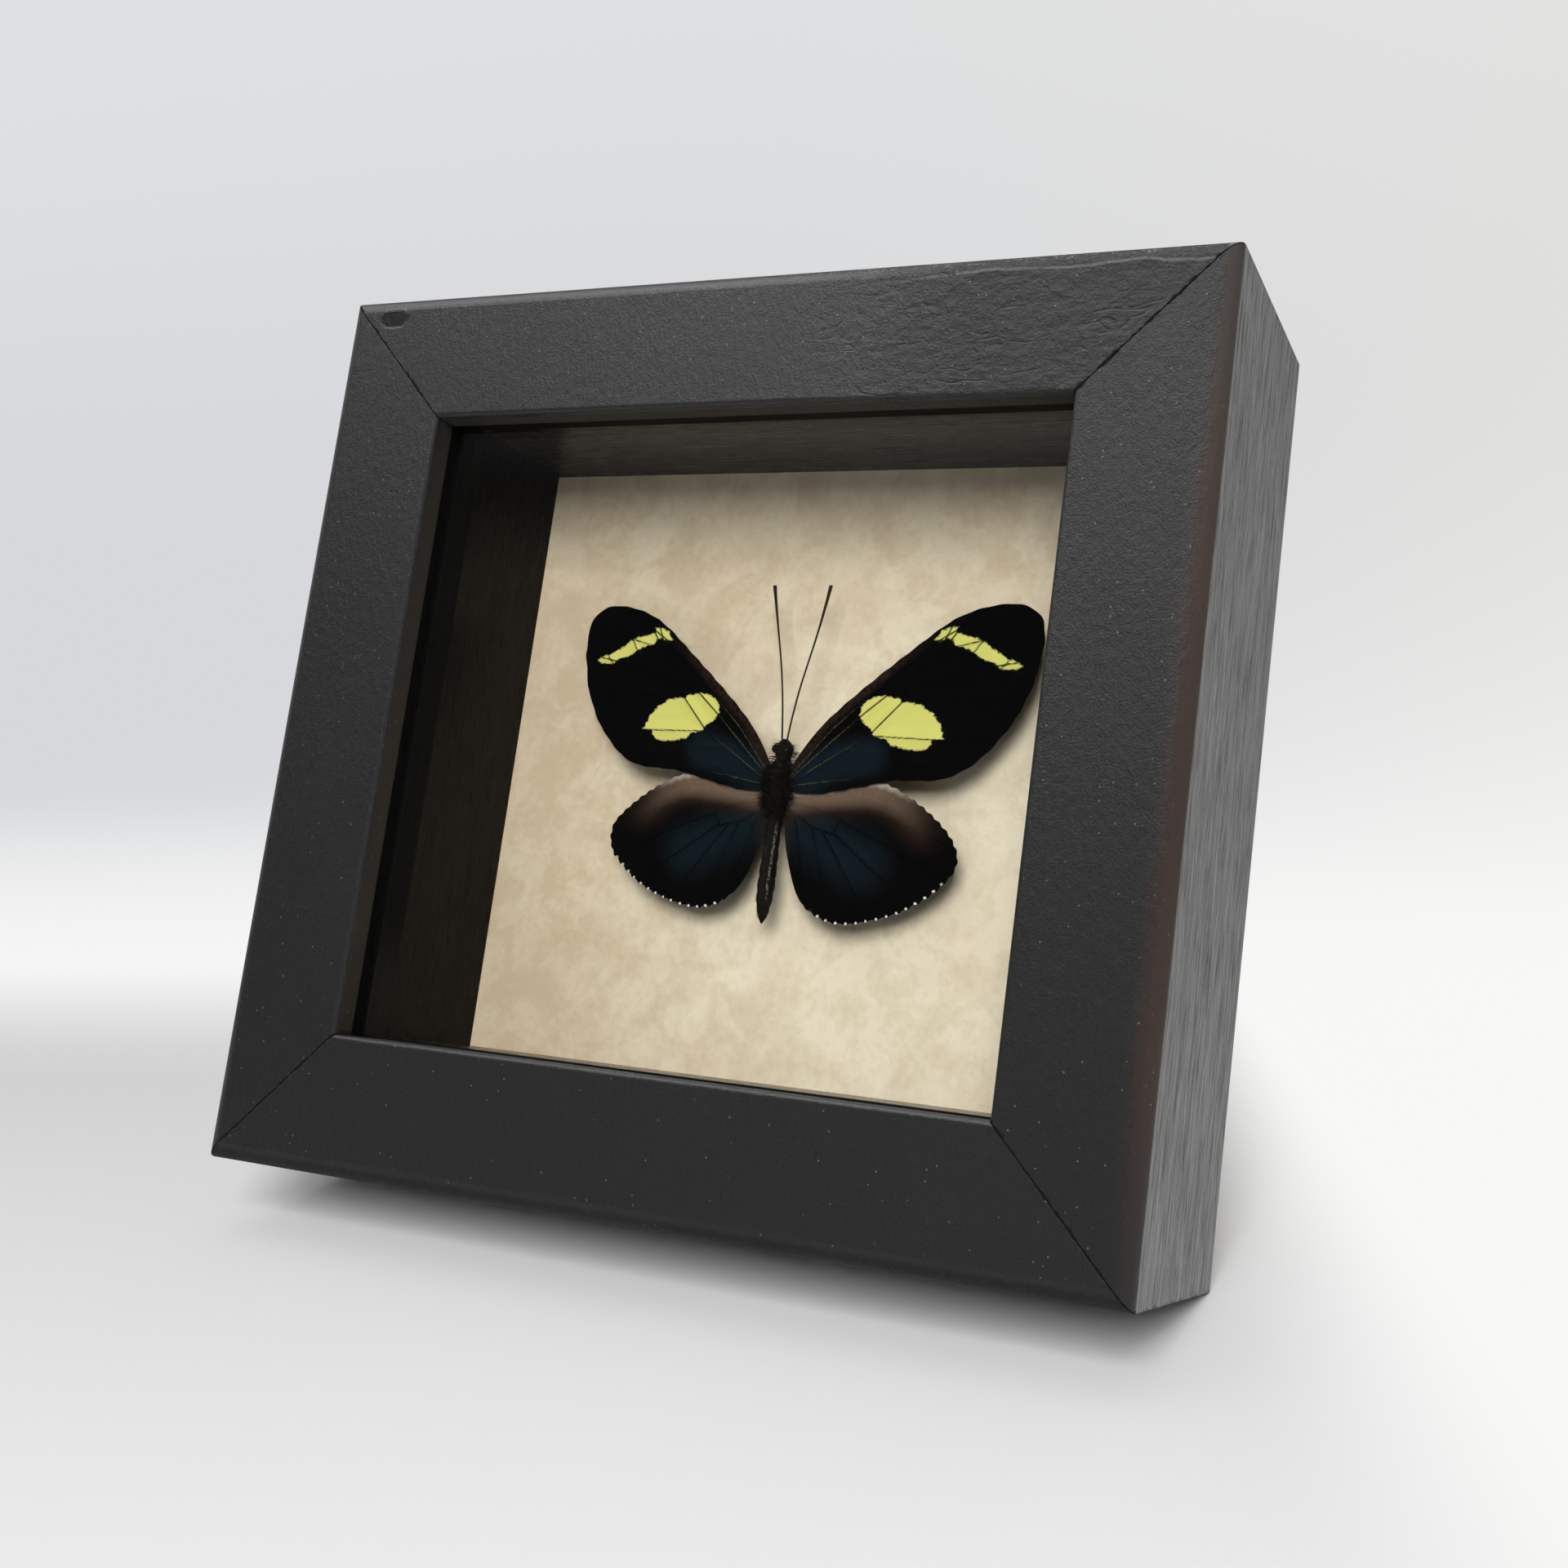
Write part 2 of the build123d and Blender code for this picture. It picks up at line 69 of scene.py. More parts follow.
def span(node, axis):
    """Lowest and highest place of a CAD node along an axis, in metres."""
    places = [vertex.co.dot(axis) for vertex in frame["nodes"][node].data.vertices]
    return min(places), max(places)


FRONT_PLACE = span("top_rail", TO_REAR)[0]
FOOT_PLACE = span("bottom_rail", UP_CASE)[0]
CASE_ORIGIN = TO_REAR * FRONT_PLACE + UP_CASE * FOOT_PLACE
CASE_WIDTH = 2 * span("right_stile", TO_RIGHT)[1] / MM
CASE_HEIGHT = (span("top_rail", UP_CASE)[1] - FOOT_PLACE) / MM
CASE_DEPTH = (span("top_rail", TO_REAR)[1] - FRONT_PLACE) / MM
FACE_WIDTH = (span("bottom_rail", UP_CASE)[1] - FOOT_PLACE) / MM
PIN_HEIGHT = (sum(span("specimen_pin", UP_CASE)) / 2 - FOOT_PLACE) / MM
ROOT_X = sum(span("butterfly_body", TO_RIGHT)) / 2 / MM
ROOT_DEPTH = (sum(span("butterfly_body", TO_REAR)) / 2 - FRONT_PLACE) / MM
PIN_ABOVE_ROOTS = 0.6
ROOT_HEIGHT = PIN_HEIGHT - PIN_ABOVE_ROOTS

# The specimen is modelled in millimetres about its wing roots: u to the right, v up the case, w forward.
SPECIMEN_PLACE = CASE_ORIGIN + (TO_RIGHT * ROOT_X + TO_REAR * ROOT_DEPTH + UP_CASE * ROOT_HEIGHT) * MM
SPECIMEN_TURN = Matrix((TO_RIGHT, UP_CASE, -TO_REAR)).transposed().to_4x4()
SPECIMEN_MATRIX = Matrix.Translation(SPECIMEN_PLACE) @ SPECIMEN_TURN @ Matrix.Scale(MM, 4)


# ---- settings a user would change ----
def colour(name, description, default):
    """A colour setting."""
    return FloatVectorProperty(
        name=name, description=description, default=default, subtype="COLOR", min=0, max=1
    )


def amount(name, description, default, **limits):
    """A number setting."""
    return FloatProperty(name=name, description=description, default=default, **limits)


class MouldingSettings(bpy.types.PropertyGroup):
    """Black paint over the wooden moulding."""

    front_paint: colour("Front paint", "Satin paint on the front faces", (0.0052, 0.0052, 0.0054))
    # Partly painted reflection: the outer sides are painted pale to stand for the backdrop they reflect.
    side_paint_and_reflection: colour("Side paint", "Thin paint on the outer sides, over open grain", (0.250, 0.255, 0.247))
    worn_paint: colour("Worn paint", "Where the wood's stain shows through the paint", (0.064, 0.028, 0.016))
    bare_wood: colour("Bare wood", "Unpainted rear faces", (0.30, 0.19, 0.11))
    lip_stain: colour("Lip stain", "Raw inner faces of the front lip", (0.016, 0.013, 0.010))
    dust: colour("Dust", "Specks that lie on the paint", (0.36, 0.34, 0.31))
    peel_height: amount("Peel height", "Height of the paint's orange peel", 0.16 * MM, unit="LENGTH")
    roughness: amount("Roughness", "Roughness of the satin paint", 0.43, min=0, max=1)


class InteriorSettings(bpy.types.PropertyGroup):
    """What shows behind the glass, apart from the specimen."""

    stain: colour("Stain", "Dark stain on the spacer strips", (0.034, 0.024, 0.018))
    felt: colour("Felt", "The strip behind the glass", (0.004, 0.004, 0.004))
    paper_light: colour("Light paper", "Palest parchment", (0.85, 0.725, 0.555))
    paper_dark: colour("Dark paper", "Browner parchment", (0.62, 0.47, 0.32))
    board: colour("Board", "Core and faces of the mount board", (0.78, 0.75, 0.68))


class BackSettings(bpy.types.PropertyGroup):
    """The back of the case and its hardware."""

    hardboard: colour("Hardboard", "Pressed fibre backing board", (0.22, 0.12, 0.062))
    strut_face: colour("Strut face", "Black paper face of the strut", (0.018, 0.018, 0.019))
    strut_edge: colour("Strut edge", "Cut fibre edges of the strut", (0.13, 0.075, 0.042))
    zinc: colour("Zinc", "Zinc-plated steel", (0.62, 0.63, 0.61))
    brass: colour("Brass", "Brass-plated steel", (0.72, 0.53, 0.22))


class SpecimenSettings(bpy.types.PropertyGroup):
    """The mounted butterfly."""

    black: colour("Black scales", "Velvety ground colour", (0.0018, 0.0014, 0.0016))
    blue: colour("Blue scales", "Wing bases", (0.0050, 0.0105, 0.0152))
    yellow: colour("Yellow scales", "Patches on the forewings", (0.66, 0.615, 0.165))
    brown: colour("Brown scales", "Leading edges and inner margins", (0.026, 0.014, 0.009))
    sheen: colour("Costal sheen", "Pale front margin of the hindwings", (0.18, 0.115, 0.08))
    fringe: colour("Fringe", "Pale dots on the hindwing's margin", (0.85, 0.83, 0.80))
    wing_thickness: amount("Wing thickness", "Thickness of a wing", 0.09 * MM, unit="LENGTH")
    left_wing_share: amount("Left wing share", "Size of the left wings against the right ones", 0.965)
    hairs: IntProperty(name="Hairs", description="Hairs on the body", default=2600, min=0)


class StudioSettings(bpy.types.PropertyGroup):
    """Camera, lamps and the paper sweep."""

    camera_place: FloatVectorProperty(
        name="Camera place",
        description="Where the camera stands",
        default=(0.11071, -0.20288, 0.08693),
        unit="LENGTH",
    )
    camera_turn: FloatVectorProperty(
        name="Camera turn",
        description="The camera's rotation",
        default=(radians(81.356), radians(0.019), radians(23.015)),
        subtype="EULER",
    )
    focal_length: amount("Focal length", "Focal length in millimetres", 40.21)
    shift: FloatVectorProperty(
        name="Shift", description="Sideways and upward shift of the frame", default=(-0.0989, 0.0282), size=2
    )
    key_power: amount("Key power", "Power of the front top lamp in watts", 5.9)
    sheen_power: amount("Sheen power", "Power of the lamp that only shines in gloss, in watts", 4.0)
    top_power: amount("Top power", "Power of the overhead lamp in watts", 0.7)
    world_strength: amount("World strength", "Strength of the even light", 1.0)
    paper: colour("Sweep paper", "Paper of the sweep", (0.87, 0.87, 0.87))


# ---- small helpers for modelling ----
def deselect_all():
    for thing in bpy.context.selected_objects:
        thing.select_set(False)
    bpy.context.view_layer.objects.active = None


def make_active(thing):
    deselect_all()
    thing.select_set(True)
    bpy.context.view_layer.objects.active = thing


def apply_modifier(thing, kind, **settings):
    """Adds a modifier to the only selected object and applies it."""
    make_active(thing)
    modifier = thing.modifiers.new(kind.title(), kind)
    for name, value in settings.items():
        setattr(modifier, name, value)
    bpy.ops.object.modifier_apply(modifier=modifier.name)


def flip_normals(thing):
    make_active(thing)
    bpy.ops.object.mode_set(mode="EDIT")
    bpy.ops.mesh.select_all(action="SELECT")
    bpy.ops.mesh.flip_normals()
    bpy.ops.object.mode_set(mode="OBJECT")


def shade_smooth(thing, angle=radians(35)):
    make_active(thing)
    bpy.ops.object.shade_smooth_by_angle(angle=angle)


def settle_specimen_piece(piece, name, node, material):
    """Puts a piece modelled about the wing roots in the case, and lets it stand for its CAD node."""
    piece.name = name
    piece.data.name = name
    piece.matrix_world = SPECIMEN_MATRIX
    make_active(piece)
    bpy.ops.object.transform_apply(location=True, rotation=True, scale=True)
    piece.data.materials.clear()
    piece.data.materials.append(material)
    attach(piece, "case")
    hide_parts(node)
    return piece


# ---- small helpers for shading ----
def four(rgb):
    return (*rgb[:3], 1.0)


def toned(rgb, factor):
    """A colour made darker, or lighter, by a factor."""
    return [channel * factor for channel in rgb]


class Value:
    """An output of a shader node; sums with it add Math nodes."""

    def __init__(self, shading, socket):
        self.shading = shading
        self.socket = socket

    def __add__(self, other):
        return self.shading.math("ADD", self, other)

    def __radd__(self, other):
        return self.shading.math("ADD", other, self)

    def __sub__(self, other):
        return self.shading.math("SUBTRACT", self, other)

    def __rsub__(self, other):
        return self.shading.math("SUBTRACT", other, self)

    def __mul__(self, other):
        return self.shading.math("MULTIPLY", self, other)

    def __truediv__(self, other):
        return self.shading.math("DIVIDE", self, other)

    def __rtruediv__(self, other):
        return self.shading.math("DIVIDE", other, self)

    def __abs__(self):
        return self.shading.math("ABSOLUTE", self)

    def gap(self, other):
        """How far apart two values are."""
        return abs(self - other)

    def larger(self, other):
        return self.shading.math("MAXIMUM", self, other)

    def step(self, low, high, at_low=0.0, at_high=1.0):
        """A smooth step from at_low, up to low, to at_high, from high on."""
        if low > high:
            low, high, at_low, at_high = high, low, at_high, at_low
        settings = {"interpolation_type": "SMOOTHSTEP", "clamp": True}
        return self.shading.made("ShaderNodeMapRange", (self, low, high, at_low, at_high), **settings)


class Shading:
    """Builds one node tree; most calls add a node and return its output as a Value."""

    def __init__(self, tree):
        self.tree = tree

    def node(self, kind, **settings):
        node = self.tree.nodes.new(kind)
        for name, value in settings.items():
            setattr(node, name, value)
        return node

    def feed(self, socket, value):
        """Links another socket to this one, or sets it to a plain value."""
        if isinstance(value, Value):
            value = value.socket
        if isinstance(value, bpy.types.NodeSocket):
            self.tree.links.new(value, socket)
        elif socket.type == "RGBA":
            socket.default_value = four(value)
        else:
            socket.default_value = value

    def outputs(self, node):
        """A node's outputs by name."""
        return {socket.name: Value(self, socket) for socket in node.outputs}

    def made(self, kind, inputs, **settings):
        """The first output of a new node, fed in the order of its inputs."""
        node = self.node(kind, **settings)
        for socket, value in zip(node.inputs, inputs):
            self.feed(socket, value)
        return Value(self, node.outputs[0])

    def math(self, operation, first, second=0.0, clamp=False):
        return self.made("ShaderNodeMath", (first, second), operation=operation, use_clamp=clamp)

    def hypotenuse(self, across, up):
        return self.math("SQRT", across * across + up * up)

    def blend(self, share, first, second):
        node = self.node("ShaderNodeMix", data_type="RGBA")
        for number, value in ((0, share), (6, first), (7, second)):
            self.feed(node.inputs[number], value)
        return Value(self, node.outputs[2])

    def split(self, place):
        node = self.node("ShaderNodeSeparateXYZ")
        self.feed(node.inputs[0], place)
        return [Value(self, socket) for socket in node.outputs]

    def join(self, x, y, z):
        return self.made("ShaderNodeCombineXYZ", (x, y, z))

    def scaled(self, place, factors):
        return self.made("ShaderNodeVectorMath", (place, factors), operation="MULTIPLY")

    def noise(self, place, scale, detail=2.0, roughness=0.5, distortion=0.0):
        node = self.node("ShaderNodeTexNoise")
        settings = {"Scale": scale, "Detail": detail, "Roughness": roughness, "Distortion": distortion}
        for name, value in {"Vector": place, **settings}.items():
            self.feed(node.inputs[name], value)
        return Value(self, node.outputs[0])

    def coordinates(self, kind):
        return self.node("ShaderNodeTexCoord").outputs[kind]

    def attribute(self, name):
        return self.outputs(self.node("ShaderNodeAttribute", attribute_name=name))["Fac"]

    def ray(self, kind):
        """Whether the ray that sees the surface is of a kind."""
        return self.outputs(self.node("ShaderNodeLightPath"))[f"Is {kind} Ray"]

    def group(self, tree, **inputs):
        """A node group's outputs by name."""
        node = self.node("ShaderNodeGroup", node_tree=tree)
        for name, value in inputs.items():
            self.feed(node.inputs[name], value)
        return self.outputs(node)

    def bump(self, height):
        """A normal from a height in millimetres."""
        node = self.node("ShaderNodeBump")
        self.feed(node.inputs["Distance"], MM)
        self.feed(node.inputs["Height"], height)
        return node.outputs[0]


def new_group(name, inputs, outputs):
    """An empty shader node group; inputs are (name, kind, default) and outputs are (name, kind)."""
    tree = bpy.data.node_groups.new(name, "ShaderNodeTree")
    for socket_name, kind, default in inputs:
        socket = tree.interface.new_socket(socket_name, in_out="INPUT", socket_type=kind)
        if default is not None:
            socket.default_value = default
    for socket_name, kind in outputs:
        tree.interface.new_socket(socket_name, in_out="OUTPUT", socket_type=kind)
    shading = Shading(tree)
    return shading, shading.outputs(shading.node("NodeGroupInput")), shading.node("NodeGroupOutput").inputs


def new_material(name):
    """A material with a lone Principled shader, and the builder for its nodes."""
    material = bpy.data.materials.new(name)
    material.use_nodes = True
    material.node_tree.nodes.clear()
    shading = Shading(material.node_tree)
    surface = shading.node("ShaderNodeBsdfPrincipled", name="surface")
    output = shading.node("ShaderNodeOutputMaterial", name="output")
    shading.feed(output.inputs["Surface"], surface.outputs[0])
    return material, shading


def cover(material, paint, roughness, relief=None, shine=0.5, **plain):
    """Feeds the Principled shader; relief is a height in millimetres and plain holds other fixed values."""
    shading = Shading(material.node_tree)
    surface = material.node_tree.nodes["surface"].inputs
    shading.feed(surface["Base Color"], paint)
    shading.feed(surface["Roughness"], roughness)
    shading.feed(surface["Specular IOR Level"], shine)
    if relief is not None:
        shading.feed(surface["Normal"], shading.bump(relief))
    for name, value in plain.items():
        shading.feed(surface[name], value)
    return material


def mix_in(material, share, kind, tint):
    """Mixes a second shader of the given kind and colour over the Principled one."""
    shading = Shading(material.node_tree)
    nodes = material.node_tree.nodes
    second = shading.node(kind)
    shading.feed(second.inputs["Color"], tint)
    mix = shading.node("ShaderNodeMixShader")
    for socket, value in zip(mix.inputs, (share, nodes["surface"].outputs[0], second.outputs[0])):
        shading.feed(socket, value)
    shading.feed(nodes["output"].inputs["Surface"], mix.outputs[0])
    return material


def dress(node, material):
    """Gives a CAD node its material."""
    slots = frame["nodes"][node].material_slots
    if not slots:
        frame["nodes"][node].data.materials.append(material)
    for slot in slots:
        slot.material = material


# ---- shared shader node groups ----
def case_place_group():
    """Place in the case's axes, in millimetres: x, depth, height."""
    shading, _, outputs = new_group("Case place", [], [("Place", "NodeSocketVector")])
    turn = Matrix.Rotation(LEAN, 3, "X")
    mapping = shading.node("ShaderNodeMapping")
    shading.feed(mapping.inputs["Vector"], shading.coordinates("Object"))
    shading.feed(mapping.inputs["Location"], turn @ CASE_ORIGIN / -MM)
    shading.feed(mapping.inputs["Rotation"], (LEAN, 0, 0))
    shading.feed(mapping.inputs["Scale"], (1 / MM, 1 / MM, 1 / MM))
    shading.feed(outputs["Place"], mapping.outputs[0])
    return shading.tree


def grain_group():
    """Wood grain that runs along the first axis of Place, in millimetres."""
    shading, inputs, outputs = new_group(
        "Wood grain",
        [("Place", "NodeSocketVector", None), ("Fineness", "NodeSocketFloat", 1.0)],
        [("Streaks", "NodeSocketFloat"), ("Pores", "NodeSocketFloat"), ("Figure", "NodeSocketFloat")],
    )
    place = shading.scaled(inputs["Place"], (0.03, 1.0, 1.0))
    fine = shading.noise(place, inputs["Fineness"] * 3.4, 3.0, 0.6)
    shading.feed(outputs["Streaks"], fine.step(0.32, 0.68))
    pore_place = shading.scaled(inputs["Place"], (0.022, 1.0, 1.0))
    pore = shading.noise(pore_place, inputs["Fineness"] * 6.5, 2.0, 0.6)
    shading.feed(outputs["Pores"], pore.step(0.53, 0.62))
    figure_place = shading.scaled(inputs["Place"], (0.02, 0.3, 0.3))
    shading.feed(outputs["Figure"], shading.noise(figure_place, inputs["Fineness"], 2.0, 0.5, 0.6))
    return shading.tree


def specks_group():
    """Sparse round specks; Size is their radius in millimetres and Spacing the room each one has."""
    shading, inputs, outputs = new_group(
        "Specks",
        [
            ("Place", "NodeSocketVector", None),
            ("Spacing", "NodeSocketFloat", 4.0),
            ("Size", "NodeSocketFloat", 0.1),
            ("Share", "NodeSocketFloat", 0.5),
        ],
        [("Mask", "NodeSocketFloat")],
    )
    cells = shading.node("ShaderNodeTexVoronoi")
    shading.feed(cells.inputs["Vector"], inputs["Place"])
    shading.feed(cells.inputs["Scale"], 1.0 / inputs["Spacing"])
    cell = shading.outputs(cells)
    distance = cell["Distance"] * inputs["Spacing"]
    chance, growth, _ = shading.split(cell["Color"])
    radius = inputs["Size"] * (growth + 0.4)
    inside = shading.math("LESS_THAN", distance, radius)
    kept = shading.math("LESS_THAN", chance, inputs["Share"])
    shading.feed(outputs["Mask"], inside * kept)
    return shading.tree


def peel_group():
    """Orange peel of brushed or sprayed paint, as a height from 0 to 1."""
    shading, inputs, outputs = new_group(
        "Paint peel",
        [("Place", "NodeSocketVector", None), ("Fineness", "NodeSocketFloat", 1.0)],
        [("Height", "NodeSocketFloat")],
    )
    leaning = shading.scaled(inputs["Place"], (1.0, 1.0, 0.6))
    coarse = shading.noise(leaning, inputs["Fineness"] * 1.1, 3.0, 0.6, 0.3)
    fine = shading.noise(inputs["Place"], inputs["Fineness"] * 3.6, 3.0, 0.7)
    height = coarse * 0.6 + fine * 0.4
    shading.feed(outputs["Height"], height)
    return shading.tree


def plating_group():
    """Cloudy plating with fine drawn scratches, for small metal parts."""
    shading, inputs, outputs = new_group(
        "Plating",
        [("Place", "NodeSocketVector", None)],
        [("Clouds", "NodeSocketFloat"), ("Scratches", "NodeSocketFloat")],
    )
    shading.feed(outputs["Clouds"], shading.noise(inputs["Place"], 0.9, 4.0, 0.6, 0.5))
    drawn = shading.scaled(inputs["Place"], (0.35, 6.0, 6.0))
    shading.feed(outputs["Scratches"], shading.noise(drawn, 1.4, 2.0, 0.6).step(0.52, 0.72))
    return shading.tree


GROUPS = {}


def shared_groups():
    """The node groups that the materials share, built once."""
    if not GROUPS:
        GROUPS["place"] = case_place_group()
        GROUPS["grain"] = grain_group()
        GROUPS["specks"] = specks_group()
        GROUPS["peel"] = peel_group()
        GROUPS["plating"] = plating_group()
    return GROUPS


def case_place(shading):
    return shading.group(shared_groups()["place"])["Place"]


def specks(shading, place, spacing, size, share):
    """Mask of sparse round specks."""
    tree = shared_groups()["specks"]
    return shading.group(tree, Place=place, Spacing=spacing, Size=size, Share=share)["Mask"]


def wood_grain(shading, place, axis, fineness=1.0):
    """Grain patterns that run along the case's x or height."""
    x, depth, height = shading.split(place)
    along = shading.join(height, depth, x) if axis == "height" else place
    return shading.group(shared_groups()["grain"], Place=along, Fineness=fineness)


# ---- moulding ----
# Heights, x and widths here are in millimetres in the case's axes.
# Painted highlight on the right arris, paler toward the top.
ARRIS_HIGHLIGHT = (0.034, 0.028, 0.025)
HIGHLIGHT_GROWS_FROM = (50.0, 112.0)         # heights over which the painted highlight on the right arris grows
WORN_BAND = (5.4, 0.9)              # how far in from the right arris the wear reaches
WORN_FOOT = (-6.0, 30.0)            # heights over which that wear begins
WORN_HEAD = (118.0, 80.0)           # heights over which it ends
CHIP_COLOUR = (0.24, 0.23, 0.19)
CHIPS_FROM = (-30.0, 40.0)          # x over which chips along the top rail grow common
SAG_LINE = 3.9                      # how far below the upper edge a sag of paint has dried
SAG_FROM = (16.0, 30.0)
SAG_COLOUR = (0.11, 0.11, 0.115)
WRINKLES_FROM = (4.0, 34.0)         # x over which the top rail's paint turns wrinkled
FILLER_SPOT = (-54.75, 114.9)       # x and height of a filled hole on the front face
FILLER_RADIUS = 1.7
FILLER_SQUASH = 0.62                # its height against its width
FILLER_SLOPE = 0.06                 # the filler faces down a little, away from the light
FILLER_COLOUR = (0.004, 0.004, 0.004)
SEAM_COLOUR = (0.003, 0.003, 0.003)
RIGHT_LUMPS = (30.0, 105.0)         # heights over which the right stile's paint turns lumpy


class Face:
    """One side of the moulding: where a point lies on it and the patterns its layers share."""

    def __init__(self, shading, side):
        level = side in ("top", "bottom")
        self.shading, self.side = shading, side
        self.place = case_place(shading)
        self.x, self.depth, self.height = shading.split(self.place)
        self.side_gap = CASE_WIDTH / 2 - abs(self.x)
        self.end_gap = CASE_HEIGHT / 2 - self.height.gap(CASE_HEIGHT / 2)
        self.outer = self.end_gap if level else self.side_gap
        self.grain = wood_grain(shading, self.place, "x" if level else "height")
        self.peel = shading.group(shared_groups()["peel"], Place=self.place)["Height"]
        self.clouds = shading.noise(self.place, 0.08, 3.0, 0.55)
        self.ragged = shading.noise(self.place, 1.3, 4.0, 0.65)
        sight_edge = self.outer.step(FACE_WIDTH - 0.25, FACE_WIDTH - 0.05)
        self.on_lip = sight_edge * self.depth.step(0.5, 1.1)
        self.on_side = self.outer.step(0.4, 0.2) * self.depth.step(1.7, 1.95)
        self.on_rear = self.depth.step(CASE_DEPTH - 0.6, CASE_DEPTH - 0.1)


def fresh_paint(face, settings):
    """Mottled satin on the front face, with less pale mottle on the right stile as painted shade; thin
    streaked paint on the outer side, painted pale partly as a painted reflection of the backdrop.
    """
    shading, grain, satin, thin = face.shading, face.grain, settings.front_paint, settings.side_paint_and_reflection
    front = shading.blend(face.clouds.step(0.3, 0.7), satin, toned(satin, 0.72))
    front = shading.blend(grain["Streaks"] * 0.3, front, toned(satin, 0.5))
    mottle = shading.noise(face.place, 3.4, 3.0, 0.75).step(0.40, 0.74)
    # The right stile gets less pale mottle, so its front is painted darker: painted shade.
    mottle_and_shade_share = 0.4 if face.side == "right" else 0.75
    front = shading.blend(mottle * mottle_and_shade_share, front, toned(satin, 3.0))
    # The outer side's pale grey is thin paint over open grain, and partly a painted reflection of the
    # backdrop.
    streaked = shading.blend(grain["Streaks"], toned(thin, 1.25), toned(thin, 0.6))
    streaked = shading.blend(grain["Pores"] * 0.75, streaked, toned(thin, 0.15))
    return shading.blend(face.on_side, front, streaked)


def rub_and_highlight_edges(face, paint, settings):
    """Rubbed edges, where the stain shows through thin paint; most of it up the right arris, which also gets
    a painted highlight that grows toward the top.
    """
    shading, outer, height, ragged = face.shading, face.outer, face.height, face.ragged
    reach = outer + face.depth * 0.8 + ragged * 0.9
    wear = reach.step(1.5, 0.9) * face.clouds.step(0.42, 0.62) * 0.55
    if face.side == "right":
        in_front = face.depth.step(2.1, 1.9)
        # Painted highlight: the right arris is painted paler toward the top.
        arris = outer.step(2.3, 0.7) * in_front * height.step(*HIGHLIGHT_GROWS_FROM)
        paint = shading.blend(arris, paint, ARRIS_HIGHLIGHT)
        band = (outer + ragged * 2.6).step(*WORN_BAND)
        along = height.step(*WORN_FOOT) * height.step(*WORN_HEAD, 0.15, 1.0)
        wear = wear.larger(band * along * in_front * 0.4)
    return shading.blend(wear, paint, settings.worn_paint)


def mark_top(face, paint):
    """Chips and a dried sag along the top rail's upper edge, thickest to the right."""
    shading, place, x, outer, depth = face.shading, face.place, face.x, face.outer, face.depth
    chip_noise = shading.noise(shading.scaled(place, (0.7, 1.0, 1.0)), 2.3, 2.0, 0.7)
    chip_edge = (outer + depth * 0.3).step(1.6, 0.9)
    chips = chip_noise.step(0.56, 0.62) * chip_edge * x.step(*CHIPS_FROM) * 0.75
    paint = shading.blend(chips, paint, CHIP_COLOUR)
    from_sag = (outer + face.clouds * 3.0).gap(SAG_LINE)
    sag = from_sag.step(0.28, 0.08) * x.step(*SAG_FROM)
    sag = sag * depth.step(2.0, 1.0) * face.ragged.step(0.34, 0.46) * 0.6
    return shading.blend(sag, paint, SAG_COLOUR)


def filler_spot(face):
    """Mask of the filled hole, and how far above its middle a point lies."""
    shading = face.shading
    right = (face.x - FILLER_SPOT[0]) * FILLER_SQUASH
    above = face.height - FILLER_SPOT[1]
    rim = shading.hypotenuse(right, above) + face.ragged * 0.8
    mask = rim.step(FILLER_RADIUS + 0.4, FILLER_RADIUS)
    return mask * face.depth.step(2.0, 1.0), above


def mitre_seam(face):
    """A dark, slightly ragged seam at the mitre, finer on the outer side."""
    shading = face.shading
    opening = shading.noise(face.place, 0.5, 2.0, 0.6).step(0.40, 0.66, -0.16, 0.34)
    opening = opening + face.ragged * 0.25
    seam = (face.side_gap.gap(face.end_gap) - opening).step(0.12, -0.05)
    return seam * face.on_side.step(0.0, 1.0, 1.0, 0.4)


def bare_back(face, paint, settings):
    """Lip stain inside, and bare wood behind with overspray along its outer edge."""
    shading, grain, bare = face.shading, face.grain, settings.bare_wood
    paint = shading.blend(face.on_lip, paint, settings.lip_stain)
    wood = shading.blend(grain["Streaks"], bare, toned(bare, 0.62))
    wood = shading.blend(grain["Pores"] * 0.7, wood, toned(bare, 0.3))
    sprayed_to = (face.outer + face.ragged * 3.0).step(2.2, 4.2)
    return shading.blend(face.on_rear * sprayed_to, paint, wood)


def lay_dust(face, paint, settings):
    """Specks and short fluff on all but the rear."""
    shading = face.shading
    dust = specks(shading, face.place, spacing=1.0, size=0.08, share=0.6)
    drawn_out = shading.scaled(face.place, (1.0, 1.0, 0.22))
    fluff = specks(shading, drawn_out, spacing=6.5, size=0.07, share=0.1)
    mask = dust.larger(fluff) * face.on_rear.step(1.0, 0.0) * 0.26
    return shading.blend(mask, paint, settings.dust)


def wrinkled_relief(face):
    """Folds and lumps in the top rail's paint."""
    shading, place = face.shading, face.place
    folds = shading.noise(shading.scaled(place, (0.5, 1.0, 1.3)), 0.20, 2.0, 0.55, 0.3)
    ridge = folds.gap(0.5).step(0.03, 0.0)
    ridge = ridge * shading.noise(place, 0.17, 2.0).step(0.50, 0.60) * -0.13
    lumps = shading.noise(shading.scaled(place, (0.7, 1.0, 1.2)), 0.55, 2.0, 0.6)
    wrinkles = ridge + face.peel * 0.34 + lumps * 0.45
    return wrinkles * face.x.step(*WRINKLES_FROM)


